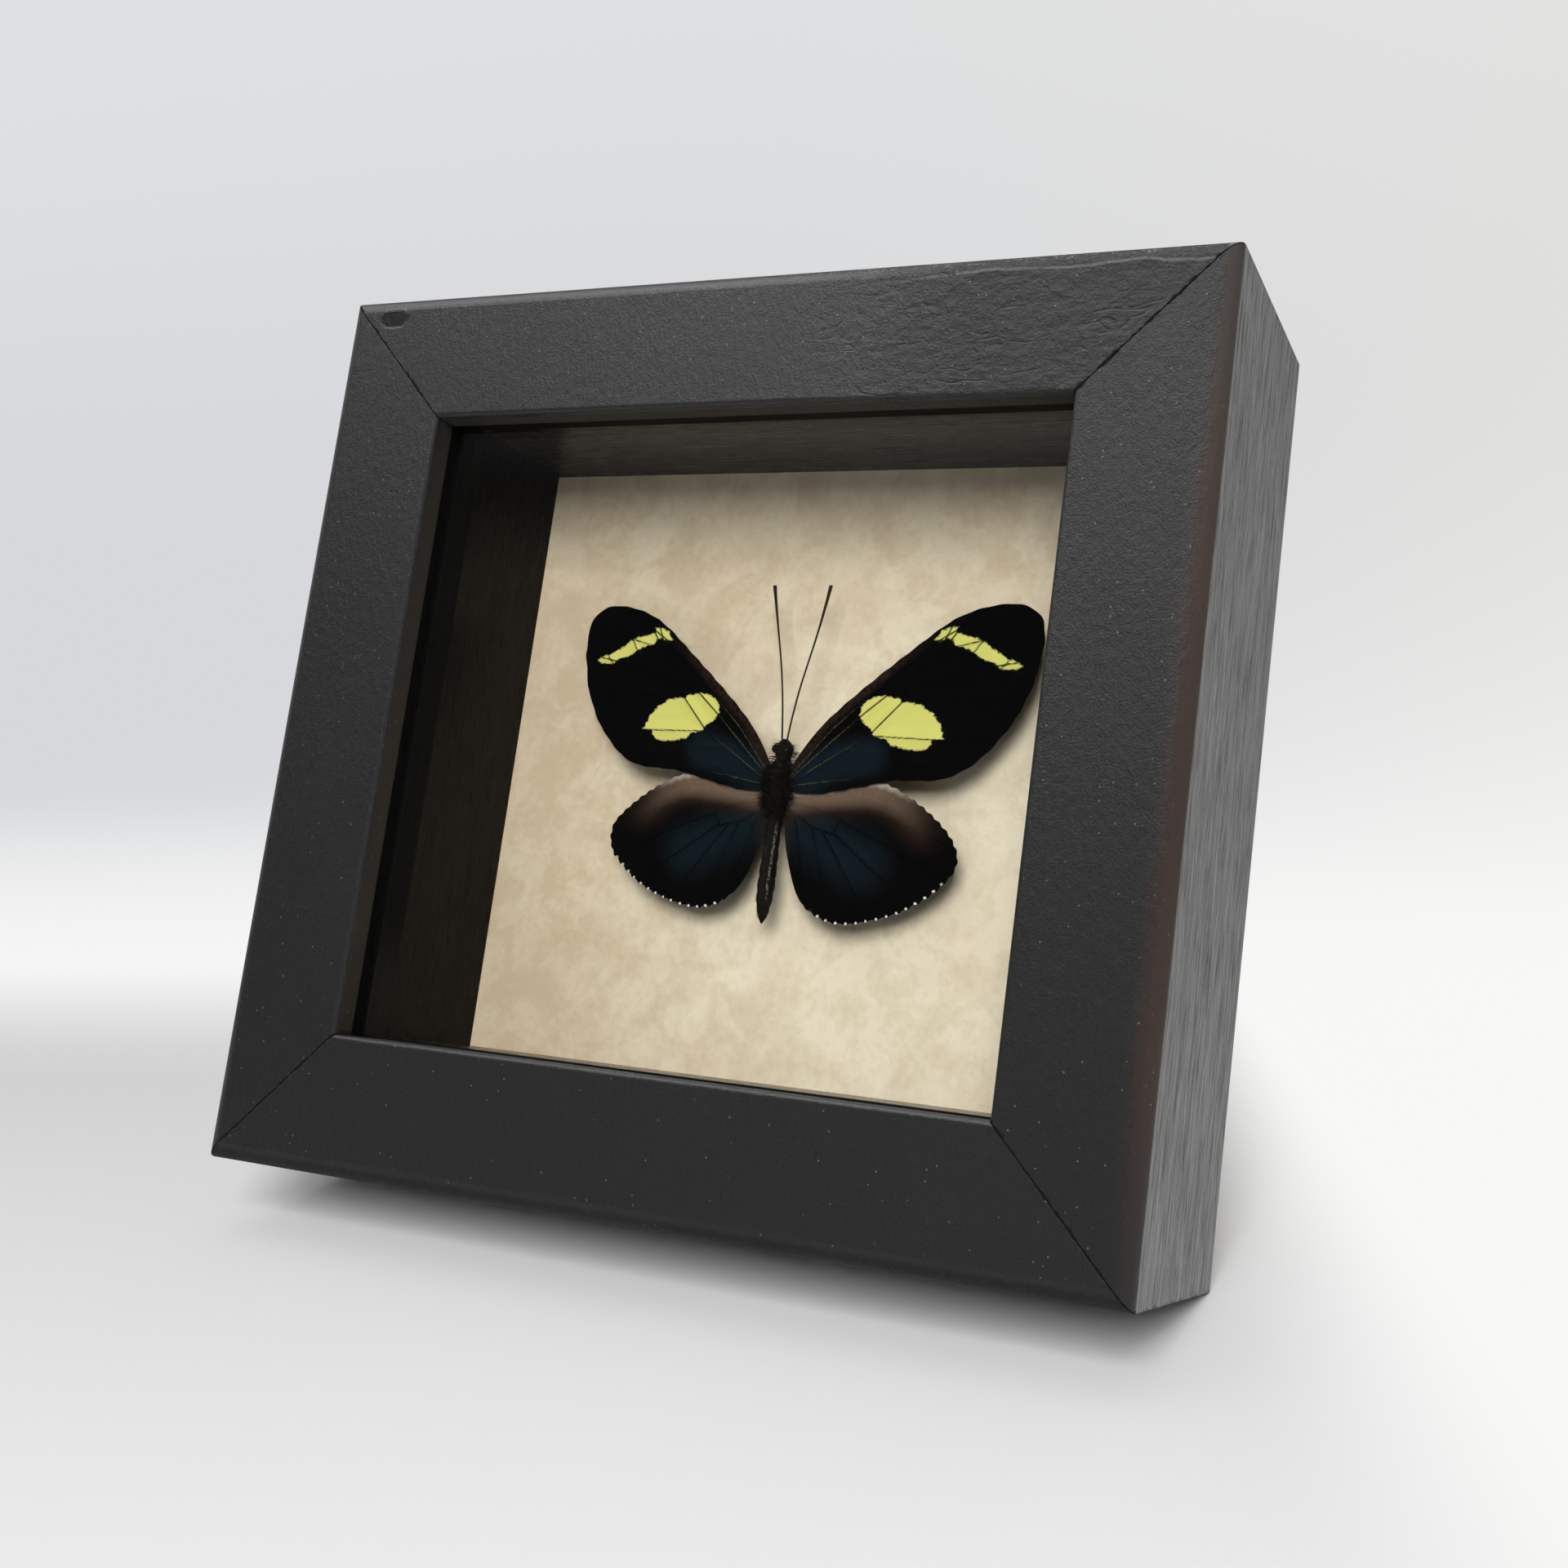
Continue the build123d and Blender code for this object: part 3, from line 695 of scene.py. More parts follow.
def paint_material(name, settings, side):
    """Satin black paint on one side of the moulding, with that side's own wear; the outer side holds a
    painted reflection, and the right stile a painted highlight and painted shade.
    """
    material, shading = new_material(name)
    face = Face(shading, side)
    grain, peel = face.grain, face.peel
    seam = mitre_seam(face)
    paint = rub_and_highlight_edges(face, fresh_paint(face, settings), settings)
    gloss = settings.roughness + face.clouds * 0.14 + peel * -0.10
    gloss = gloss + face.on_rear * 0.3 + face.on_lip * 0.25
    gloss = gloss + face.on_side * grain["Pores"] * 0.4 + seam * 0.5
    side_relief = grain["Pores"] * -0.08 + grain["Streaks"] * -0.04
    relief = peel * (settings.peel_height / MM) + face.on_side * side_relief + seam * -0.12
    if side == "top":
        spot, above_spot = filler_spot(face)
        paint = shading.blend(spot, mark_top(face, paint), FILLER_COLOUR)
        gloss = gloss + spot * -0.2
        relief = relief + wrinkled_relief(face) + spot * above_spot * FILLER_SLOPE
    if side == "bottom":
        gloss = gloss + face.outer.step(2.4, 1.0, 0.0, 0.45)
    if side == "right":
        lumpy = face.height.step(*RIGHT_LUMPS, 0.0, 0.16)
        relief = relief + peel * lumpy
    paint = bare_back(face, shading.blend(seam, paint, SEAM_COLOUR), settings)
    paint = lay_dust(face, paint, settings)
    return cover(material, paint, shading.math("MINIMUM", gloss, 1.0), relief)


class CASE_OT_paint_moulding(bpy.types.Operator):
    """Paints the four mitred sides, each with its own wear, plus a painted reflection on the outer sides and
    a painted highlight and shade on the right stile
    """

    bl_idname = "display_case.paint_moulding"
    bl_label = "Paint moulding"

    def execute(self, context):
        settings = context.scene.case_moulding
        for node in ("top_rail", "bottom_rail", "left_stile", "right_stile"):
            side = node.split("_")[0]
            dress(node, paint_material(f"{side}_paint", settings, side))
        return {"FINISHED"}


# ---- interior ----
SPACER_FRONT = (span("top_spacer", TO_REAR)[0] - FRONT_PLACE) / MM
DARK_BAND_WIDTH = 4.4                    # black band over the front edge of each spacer, in mm
PALE_AND_LIT_PLACE = (19.0, 46.0)           # x and height of the palest part of the parchment, in mm; set right of and below the middle, so the browning also paints shade to the left and top
LIGHTENED_TOP_FROM = (78.0, 100.0)         # heights over which the parchment's browning drops to about half, in mm: painted light against the top rail's shadow
OLD_PAPER = (0.66, 0.47, 0.36)
GRIMY_PAPER = (0.52, 0.42, 0.30)
PAPER_FIBRE = (0.34, 0.26, 0.18)
PAPER_FLECK = (0.16, 0.11, 0.07)
LAYER_RATE = 14.0                   # radians of the layered pattern for each millimetre of board


def stained_wood(name, settings, axis):
    """Thin dark stain on a spacer strip; its grain runs along the strip, and the upright strips are painted
    far darker, a painted shade.
    """
    material, shading = new_material(name)
    place = case_place(shading)
    grain = wood_grain(shading, place, axis, 0.8)
    # The upright strips are toned far darker than the level ones: painted shade.
    tone = toned(settings.stain, 0.6 if axis == "x" else 0.13)
    stain = shading.blend(grain["Streaks"], tone, toned(tone, 0.62))
    stain = shading.blend(grain["Figure"] * 0.5, stain, toned(tone, 1.7))
    stain = shading.blend(grain["Pores"] * 0.6, stain, toned(tone, 0.3))
    _, depth, height = shading.split(place)
    dark_band = depth.step(SPACER_FRONT + DARK_BAND_WIDTH, SPACER_FRONT + DARK_BAND_WIDTH - 0.2)
    stain = shading.blend(dark_band, stain, settings.felt)
    matt = dark_band * height.step(CASE_HEIGHT * 0.2, CASE_HEIGHT * 0.3, 0.1, 0.6)
    gloss = 0.20 + grain["Streaks"] * 0.10 + matt
    relief = grain["Pores"] * -0.012 + grain["Streaks"] * -0.004
    return cover(material, stain, gloss, relief, shine=0.13 if axis == "x" else 0.08)


def felt_material(settings):
    """Black felt strip."""
    material, shading = new_material("seal_felt")
    fibres = shading.noise(case_place(shading), 3.0, 4.0, 0.7)
    felt = shading.blend(fibres, settings.felt, toned(settings.felt, 0.4))
    return cover(material, felt, 0.95, fibres * 0.2, shine=0.2)


def parchment_material(settings):
    """Mottled parchment paper, palest right of and below the middle and browner to its edges, with faint
    fibres; the browning is partly painted shade to the left and up, and is eased near the top as painted
    light.
    """
    material, shading = new_material("parchment_paper")
    place = case_place(shading)
    x, _, height = shading.split(place)
    blotches = shading.noise(place, 0.16, 4.0, 0.55, 0.5)
    mottle = shading.noise(place, 0.75, 3.0, 0.6, 0.3)
    fine = shading.noise(place, 3.2, 3.0, 0.6)
    off_x = (x - PALE_AND_LIT_PLACE[0]) / (CASE_WIDTH / 2 - FACE_WIDTH)
    off_height = (height - PALE_AND_LIT_PLACE[1]) / (CASE_HEIGHT / 2 - FACE_WIDTH)
    # Browning toward the edges, partly painted shade; near the top it is eased as painted light.
    from_pale_and_lit = shading.hypotenuse(off_x, off_height).step(0.35, 1.45, 0.0, 0.75)
    aged_and_shaded = from_pale_and_lit * height.step(*LIGHTENED_TOP_FROM, 1.0, 0.55)
    aged_and_shaded = aged_and_shaded + blotches.step(0.38, 0.64, 0.0, 0.40) + mottle.step(0.38, 0.66, 0.0, 0.20)
    aged_and_shaded = shading.math("SUBTRACT", aged_and_shaded, 0.14, clamp=True)
    paper = shading.blend(aged_and_shaded, settings.paper_light, settings.paper_dark)
    rosy = shading.noise(place, 0.11, 2.0, 0.5).step(0.45, 0.65, 0.0, 0.18)
    paper = shading.blend(rosy, paper, OLD_PAPER)
    paper = shading.blend(fine.step(0.45, 0.7, 0.0, 0.10), paper, GRIMY_PAPER)
    strands = shading.noise(shading.scaled(place, (1.0, 1.0, 1.6)), 0.32, 1.0, 0.5, 2.6)
    strand = strands.gap(0.5).step(0.006, 0.0)
    where = shading.noise(place, 0.4, 1.0).step(0.58, 0.66)
    paper = shading.blend(strand * where * 0.35, paper, PAPER_FIBRE)
    flecks = specks(shading, place, spacing=9.0, size=0.10, share=0.35)
    paper = shading.blend(flecks * 0.5, paper, PAPER_FLECK)
    relief = fine * 0.02 + mottle * 0.04
    return cover(material, paper, 0.78 + mottle * 0.12, relief, shine=0.25)


def board_material(settings):
    """Mount board: smooth pale faces with a faint layered edge."""
    material, shading = new_material("mount_board_paper")
    place = case_place(shading)
    _, depth, _ = shading.split(place)
    layers = shading.math("SINE", depth * LAYER_RATE)
    fibre = shading.noise(place, 1.8, 3.0, 0.6)
    tone = layers * 0.06 + fibre * 0.25
    board = shading.blend(tone, settings.board, toned(settings.board, 0.7))
    return cover(material, board, 0.85, fibre * 0.02)


class CASE_OT_finish_interior(bpy.types.Operator):
    """Stains the spacers, the upright ones darker as painted shade, blackens the seal and ages the parchment
    and its board, the parchment's browning partly painted shade and light
    """

    bl_idname = "display_case.finish_interior"
    bl_label = "Finish interior"

    def execute(self, context):
        settings = context.scene.case_interior
        shaded_upright = stained_wood("upright_painted_shade_stain", settings, "height")
        level = stained_wood("level_stain", settings, "x")
        for node in ("left_spacer", "right_spacer"):
            dress(node, shaded_upright)
        for node in ("top_spacer", "bottom_spacer"):
            dress(node, level)
        dress("glass_seal", felt_material(settings))
        dress("parchment", parchment_material(settings))
        dress("mount_board", board_material(settings))
        return {"FINISHED"}


def glass_material():
    """Clear picture glass; lamps reach what lies behind it."""
    material, shading = new_material("picture_glass")
    smears = shading.noise(case_place(shading), 0.12, 3.0, 0.6, 0.8)
    gloss = smears.step(0.5, 0.8, 0.0, 0.012)
    cover(material, (0.97, 0.99, 0.98), gloss, **{"Transmission Weight": 1.0, "IOR": 1.45})
    return mix_in(material, shading.ray("Shadow"), "ShaderNodeBsdfTransparent", (0.96, 0.98, 0.97))


class CASE_OT_glaze(bpy.types.Operator):
    """Makes the front pane clear"""

    bl_idname = "display_case.glaze"
    bl_label = "Glaze"

    def execute(self, context):
        dress("glass", glass_material())
        return {"FINISHED"}


# ---- back and hardware ----
DARK_FIBRE = (0.07, 0.04, 0.02)
BLUED = (0.12, 0.13, 0.15)


def object_place(shading):
    """Place on a part that moves, in millimetres of its own axes."""
    coordinates = shading.coordinates("Object")
    return shading.scaled(coordinates, (1 / MM, 1 / MM, 1 / MM))


def hardboard_material(settings):
    """Smooth brown hardboard with pressed fibres and scuffs."""
    material, shading = new_material("hardboard")
    place = case_place(shading)
    board = settings.hardboard
    fibre = shading.noise(place, 2.6, 5.0, 0.7, 0.8)
    clouds = shading.noise(place, 0.12, 3.0, 0.5)
    brown = shading.blend(fibre.step(0.3, 0.7), board, toned(board, 0.6))
    brown = shading.blend(clouds * 0.5, brown, toned(board, 1.5))
    chips = specks(shading, place, spacing=1.7, size=0.16, share=0.3)
    brown = shading.blend(chips * 0.35, brown, DARK_FIBRE)
    scuff = shading.noise(shading.scaled(place, (0.08, 1.0, 1.6)), 1.1, 2.0, 0.6, 0.4)
    brown = shading.blend(scuff.step(0.68, 0.74, 0.0, 0.35), brown, toned(board, 2.0))
    return cover(material, brown, 0.52 + fibre * 0.2, fibre * 0.03)


def strut_material(settings):
    """Black-faced hardboard strut with brown cut edges."""
    material, shading = new_material("strut_board")
    place = object_place(shading)
    fibre = shading.noise(place, 2.8, 4.0, 0.7)
    across, _, _ = shading.split(shading.node("ShaderNodeNewGeometry").outputs["Normal"])
    cut_side = abs(across).step(0.5, 0.8)
    rubbed = shading.noise(place, 0.5, 3.0, 0.6).step(0.60, 0.72, 0.0, 0.2)
    black = shading.blend(fibre, settings.strut_face, toned(settings.strut_face, 1.8))
    black = shading.blend(rubbed, black, settings.strut_edge)
    brown = shading.blend(fibre, settings.strut_edge, toned(settings.strut_edge, 0.5))
    board = shading.blend(cut_side, black, brown)
    return cover(material, board, 0.5 + fibre * 0.2, fibre * 0.03)


def metal_material(name, tint, roughness, tarnish):
    """Plated steel, clouded and lightly scratched."""
    material, shading = new_material(name)
    plating = shading.group(shared_groups()["plating"], Place=object_place(shading))
    clouds, scratches = plating["Clouds"], plating["Scratches"]
    plated = shading.blend(clouds.step(0.35, 0.7), tint, toned(tint, tarnish))
    gloss = roughness + clouds * 0.18 + scratches * 0.12
    return cover(material, plated, gloss, scratches * 0.004, Metallic=1.0)


class CASE_OT_finish_back(bpy.types.Operator):
    """Finishes the backing board, the strut, the turn buttons, the hinge and the hanger"""

    bl_idname = "display_case.finish_back"
    bl_label = "Finish back"

    def execute(self, context):
        settings = context.scene.case_back
        dress("backing_board", hardboard_material(settings))
        dress("easel_strut", strut_material(settings))
        zinc = metal_material("zinc_plating", settings.zinc, 0.28, 0.72)
        steel = metal_material("screw_steel", toned(settings.zinc, 0.8), 0.22, 0.6)
        brass = metal_material("brass_plating", settings.brass, 0.22, 0.7)
        blued = metal_material("blued_steel", BLUED, 0.35, 0.6)
        corners = ("top_left", "top_right", "bottom_left", "bottom_right")
        for node in [f"turn_button_{corner}" for corner in corners] + ["hanger_strap", "hanger_ring"]:
            dress(node, zinc)
        for node in ("turn_button_screws", "hanger_screw", "specimen_pin"):
            dress(node, steel)
        for node in ("hinge_board_leaf", "hinge_strut_leaf", "hinge_pin", "board_rivets", "strut_rivets"):
            dress(node, brass)
        dress("corner_nails", blued)
        return {"FINISHED"}


# ---- wings ----
# Outlines, patches and veins in millimetres from the wing root, for a right-hand wing.
FOREWING_OUTLINE = (
    (1.0, 2.2), (6.0, 9.6), (17.0, 19.4), (23.5, 24.2), (30.0, 25.9), (34.0, 24.4),
    (34.8, 20.0), (33.2, 13.0), (29.4, 6.9), (24.0, 2.8), (16.0, 1.9), (6.0, -0.2), (1.0, 0.2),
)
HINDWING_OUTLINE = (
    (0.8, -0.6), (6.0, 0.3), (14.0, 1.8), (20.0, -0.6), (25.2, -4.9), (26.2, -8.6),
    (23.4, -12.2), (18.0, -15.4), (10.5, -17.0), (5.2, -14.6), (2.4, -9.0), (1.2, -4.0),
)
LARGE_PATCH = (
    (10.6, 10.5), (11.1, 12.1), (12.3, 12.9), (13.8, 13.2), (16.2, 12.9), (16.6, 12.3), (17.3, 12.5),
    (19.4, 12.1), (21.1, 11.0), (22.2, 9.6), (22.5, 8.8), (22.9, 7.7), (21.4, 7.6), (21.2, 6.8), (20.3, 6.2),
    (18.0, 6.1), (15.6, 6.6), (14.9, 7.3), (13.2, 7.7), (12.5, 8.6), (11.3, 9.5),
)
APICAL_PATCH = (
    (20.0, 20.8), (20.9, 22.2), (22.3, 22.7), (23.2, 22.5), (22.9, 21.8), (24.3, 21.7), (25.9, 21.2),
    (27.0, 20.7), (28.2, 19.8), (29.3, 19.3), (30.4, 18.6), (32.5, 17.9), (31.9, 17.2), (30.6, 17.1),
    (29.5, 17.2), (28.3, 18.0), (26.9, 18.4), (25.6, 19.2), (24.4, 19.8), (23.2, 20.0), (22.5, 20.7),
    (21.7, 21.0), (20.9, 20.6),
)
FOREWING_VEINS = (
    ((1.2, 1.5), (7.0, 8.4), (14.0, 15.0), (21.0, 20.9), (27.0, 24.6)),
    ((1.2, 1.1), (6.5, 6.2), (11.5, 10.8), (17.4, 15.8), (22.2, 20.6), (24.4, 23.8)),
    ((1.2, 0.8), (7.0, 4.4), (12.6, 8.0), (16.8, 12.6), (17.4, 15.8)),
    ((12.2, 7.8), (17.0, 7.65), (23.0, 7.6), (31.6, 8.6)),
    ((9.5, 5.9), (17.5, 4.9), (25.4, 3.5)),
    ((1.2, 0.5), (8.0, 1.6), (16.0, 2.5)),
    ((16.8, 12.6), (24.5, 12.9), (33.4, 13.8)),
    ((17.4, 14.6), (26.0, 17.0), (34.4, 18.6)),
    ((20.6, 19.4), (27.4, 21.0), (34.2, 22.6)),
    ((21.2, 19.9), (22.4, 22.9)),
    ((25.4, 18.8), (27.2, 21.6)),
    ((29.2, 16.7), (31.2, 19.2)),
)
HINDWING_VEINS = (
    ((1.0, -1.2), (5.5, -1.9), (9.6, -3.2), (8.6, -5.4), (5.4, -4.6), (1.0, -1.6)),
    ((8.0, -2.5), (17.0, -2.8), (25.6, -6.0)),
    ((9.6, -3.6), (17.0, -6.6), (25.0, -10.4)),
    ((8.8, -5.2), (14.4, -9.4), (21.0, -13.8)),
    ((7.2, -5.2), (11.2, -10.6), (15.2, -16.4)),
    ((5.6, -4.8), (7.8, -10.6), (9.6, -17.0)),
    ((2.8, -3.0), (4.4, -9.0), (6.2, -15.4)),
)
FOREWING_LEAD = FOREWING_OUTLINE[:5]
FOREWING_BLUE = ((2.5, 1.3), (8.5, 4.2), (12.5, 5.0))
HINDWING_BLUE = ((2.6, -3.0), (7.6, -6.4), (13.0, -8.8))
COSTAL_SHEEN = ((1.5, -0.6), (5.0, 0.0), (9.0, 0.5), (13.0, 0.9), (16.0, 0.6), (19.0, -0.9), (22.0, -3.2))
OUTLINE_STEPS = 260
RINGS = 46
CAMBER = -0.0011                     # how fast a wing bends back from its middle
CAMBER_MIDDLE = 12.0
TILT = 0.030                         # how far a wing leans forward for each millimetre up it
VEIN_RIDGE = (0.10, 0.45)            # height and half width of the ridge along a vein
VEIN_FOLD = (0.16, 1.1, 1.9)         # depth, half width and distance of the fold beside it
FRINGE_PITCH = 1.5                   # length of one scallop of the hindwing's margin
# The rings of faces close in on the hub; lift is how far a wing lies in front of the body's axis.
WING_KINDS = {
    "forewing": {
        "outline": FOREWING_OUTLINE,
        "veins": FOREWING_VEINS,
        "blue": FOREWING_BLUE,
        "hub": (19.0, 12.4),
        "scallop": (0.05, 3.1),
        "camber_share": 1.0,
        "tilt_share": 1.0,
        "lift": 0.42,
    },
    "hindwing": {
        "outline": HINDWING_OUTLINE,
        "veins": HINDWING_VEINS,
        "blue": HINDWING_BLUE,
        "hub": (13.0, -7.2),
        "scallop": (0.11, FRINGE_PITCH),
        "camber_share": 0.8,
        "tilt_share": 0.2,
        "lift": -0.10,
    },
}


def smooth_loop(points, count):
    """A closed curve through the points, as evenly spaced points."""
    dense = []
    total = len(points)
    for index in range(total):
        before, start, end, after = (Vector(points[(index + k) % total]) for k in (-1, 0, 1, 2))
        for part in range(24):
            t = part / 24
            bend = (end - before) * t + (before * 2 - start * 5 + end * 4 - after) * t**2
            bend += (start * 3 - before - end * 3 + after) * t**3
            dense.append(start + bend * 0.5)
    dense.append(dense[0])
    runs = np.concatenate([[0.0], np.cumsum([(b - a).length for a, b in zip(dense, dense[1:])])])
    wanted = np.linspace(0, runs[-1], count, endpoint=False)
    return np.column_stack([np.interp(wanted, runs, [p[axis] for p in dense]) for axis in (0, 1)])


def distance_to(places, line):
    """Distance from each place to a polyline, and how far along the line the nearest point is."""
    line = np.asarray(line, float)
    best = np.full(len(places), 1e9)
    along = np.zeros(len(places))
    run = 0.0
    for start, end in zip(line, line[1:]):
        step = end - start
        length = float(np.hypot(*step))
        share = np.clip((places - start) @ step / length**2, 0, 1)
        gap = np.hypot(*(places - start - share[:, None] * step).T)
        nearer = gap < best
        best = np.where(nearer, gap, best)
        along = np.where(nearer, run + share * length, along)
        run += length
    return best, along


def inside(places, loop):
    """Whether each place lies inside a closed outline."""
    loop = np.asarray(loop, float)
    odd = np.zeros(len(places), bool)
    for start, end in zip(loop, np.roll(loop, -1, axis=0)):
        crosses = (start[1] > places[:, 1]) != (end[1] > places[:, 1])
        rise = end[1] - start[1]
        if rise:
            reach = start[0] + (places[:, 1] - start[1]) * (end[0] - start[0]) / rise
            odd ^= crosses & (places[:, 0] < reach)
    return odd


def signed_distance(places, loop):
    """Distance to a closed outline, positive inside it."""
    gap, _ = distance_to(places, [*loop, loop[0]])
    return np.where(inside(places, loop), gap, -gap)


def write_attribute(mesh, name, values):
    mesh.attributes.new(name, "FLOAT", "POINT").data.foreach_set("value", np.asarray(values, np.float32))


def flat_blade(outline, hub):
    """A flat sheet: rings of faces run in from the outline to the hub."""
    deselect_all()
    bpy.ops.mesh.primitive_circle_add(vertices=len(outline), fill_type="NOTHING", location=(0, 0, 0))
    blade = bpy.context.object
    for vertex, (u, v) in zip(blade.data.vertices, outline):
        vertex.co = (u, v, 0.0)
    bpy.ops.object.mode_set(mode="EDIT")
    bpy.ops.mesh.select_all(action="SELECT")
    for ring in range(RINGS, 1, -1):
        share = (ring - 1) / ring
        bpy.ops.mesh.extrude_region_move()
        bpy.ops.transform.resize(value=(share, share, 1.0), center_override=(*hub, 0.0))
    bpy.ops.mesh.extrude_region_move()
    bpy.ops.mesh.merge(type="CENTER")
    bpy.ops.object.mode_set(mode="OBJECT")
    if blade.data.polygons[0].normal.z < 0:
        flip_normals(blade)
    return blade


def scalloped(loop, ripple, pitch):
    """The outline with a fine ripple along its outer margin."""
    forward = np.roll(loop, -1, axis=0) - np.roll(loop, 1, axis=0)
    outward = np.column_stack([forward[:, 1], -forward[:, 0]]) / np.hypot(*forward.T)[:, None]
    if signed_distance(loop[:1] + outward[:1] * 0.2, loop)[0] > 0:
        outward = -outward
    spacing = float(np.hypot(*(loop[1] - loop[0])))
    runs = np.arange(len(loop)) * spacing
    far = np.clip((loop[:, 0] - 4.0) / 3.0, 0, 1)
    return loop + outward * (ripple * far * np.cos(2 * pi * runs / pitch))[:, None]


def vertex_places(mesh):
    """Each vertex's place across and up the wing."""
    return np.array([vertex.co[:2] for vertex in mesh.vertices])


def nearest_vein(places, veins):
    return np.min([distance_to(places, vein)[0] for vein in veins], axis=0)


def raise_blade(mesh, shape):
    """Cambers a flat wing, tilts it and pleats it between its veins."""
    places = vertex_places(mesh)
    vein_gap = nearest_vein(places, shape["veins"])
    ridge, ridge_width = VEIN_RIDGE
    fold, fold_width, fold_gap = VEIN_FOLD
    camber = CAMBER * (np.hypot(*places.T) - CAMBER_MIDDLE) ** 2 * shape["camber_share"]
    pleat = ridge * np.exp(-((vein_gap / ridge_width) ** 2))
    pleat = pleat - fold * np.exp(-(((vein_gap - fold_gap) / fold_width) ** 2))
    tilt = TILT * places[:, 1] * shape["tilt_share"]
    for vertex, height in zip(mesh.vertices, camber + pleat + tilt + shape["lift"]):
        vertex.co.z = height


def mark_blade(mesh, shape, loop):
    """Writes the measures that the wing's colours follow."""
    places = vertex_places(mesh)
    margin_gap, margin_run = distance_to(places, [*loop, loop[0]])
    measures = {
        "vein_gap": nearest_vein(places, shape["veins"]),
        "margin_gap": margin_gap,
        "margin_run": margin_run,
        "outward": places[:, 0],
        "upward": places[:, 1],
        "blue_gap": distance_to(places, shape["blue"])[0],
    }
    if shape["outline"] is FOREWING_OUTLINE:
        patches = signed_distance(places, LARGE_PATCH), signed_distance(places, APICAL_PATCH)
        measures["patch"] = np.maximum(*patches)
        measures["lead_gap"] = distance_to(places, FOREWING_LEAD)[0]
    else:
        measures["sheen_gap"] = distance_to(places, COSTAL_SHEEN)[0]
    for name, values in measures.items():
        write_attribute(mesh, name, values)


def make_wing(kind, sense, settings, material):
    """One wing, to the right for a sense of 1 and to the left for -1."""
    shape = WING_KINDS[kind]
    size = settings.left_wing_share if sense < 0 else 1.0
    loop = scalloped(smooth_loop(shape["outline"], OUTLINE_STEPS), *shape["scallop"])
    blade = flat_blade(loop, shape["hub"])
    raise_blade(blade.data, shape)
    apply_modifier(blade, "SOLIDIFY", thickness=settings.wing_thickness / MM, offset=-1.0)
    mark_blade(blade.data, shape, loop)
    for vertex in blade.data.vertices:
        vertex.co.x *= sense * size
        vertex.co.y *= size
    if sense < 0:
        flip_normals(blade)
    shade_smooth(blade)
    name = f"{kind}_{'left' if sense < 0 else 'right'}"
    return settle_specimen_piece(blade, f"{name}_scales", name, material)


VEIN_GOLD = (0.085, 0.075, 0.034)
PALE_RIM = (0.55, 0.49, 0.43)


class Scales:
    """The scaly surface of a wing: where a point lies on it and the patterns its colours share."""

    def __init__(self, shading):
        self.shading = shading
        self.u = shading.attribute("outward")
        self.v = shading.attribute("upward")
        self.flat = shading.join(self.u, self.v, 0.0)
        self.fine = shading.noise(self.flat, 7.0, 2.0, 0.7)
        self.drift = shading.noise(self.flat, 1.6, 3.0, 0.6)
        self.vein_gap = shading.attribute("vein_gap")
        self.vein = (self.vein_gap + self.fine * 0.06).step(0.20, 0.09)

    def strayed(self, name, share):
        """A distance that was written to the mesh, made uneven by the drift."""
        return self.shading.attribute(name) + self.drift * share

    def cover(self, material, tint):
        """Matt scales, raised a little along the veins."""
        relief = self.vein_gap.step(0.28, 0.0, 0.0, 0.08) + self.fine * 0.02
        return cover(material, tint, 0.85, relief, shine=0.015)


def forewing_material(settings):
    """Velvet black with a blue base, a brown leading edge and lime-yellow patches."""
    material, shading = new_material("forewing_scales")
    wing = Scales(shading)
    blue = wing.strayed("blue_gap", 1.2).step(4.4, 1.8) * wing.fine.step(0.15, 0.6)
    tint = shading.blend(blue, settings.black, settings.blue)
    brown = shading.attribute("lead_gap").step(1.5, 0.3)
    brown = brown * wing.u.step(22.0, 12.0) * wing.drift.step(0.3, 0.6) * 0.8
    tint = shading.blend(brown, tint, settings.brown)
    gold = wing.vein_gap.step(0.13, 0.05) * wing.u.step(12.0, 7.0)
    gold = gold * shading.noise(wing.flat, 3.5, 1.0).step(0.36, 0.52) * 0.75
    tint = shading.blend(gold, tint, VEIN_GOLD)
    edge = shading.attribute("patch") + (wing.drift - 0.5) + (wing.fine - 0.5) * 0.8
    patch = edge.step(0.0, 0.14) * (1.0 - wing.vein * 0.93)
    yellow = shading.blend(wing.fine * 0.5, settings.yellow, toned(settings.yellow, 0.82))
    return wing.cover(material, shading.blend(patch, tint, yellow))


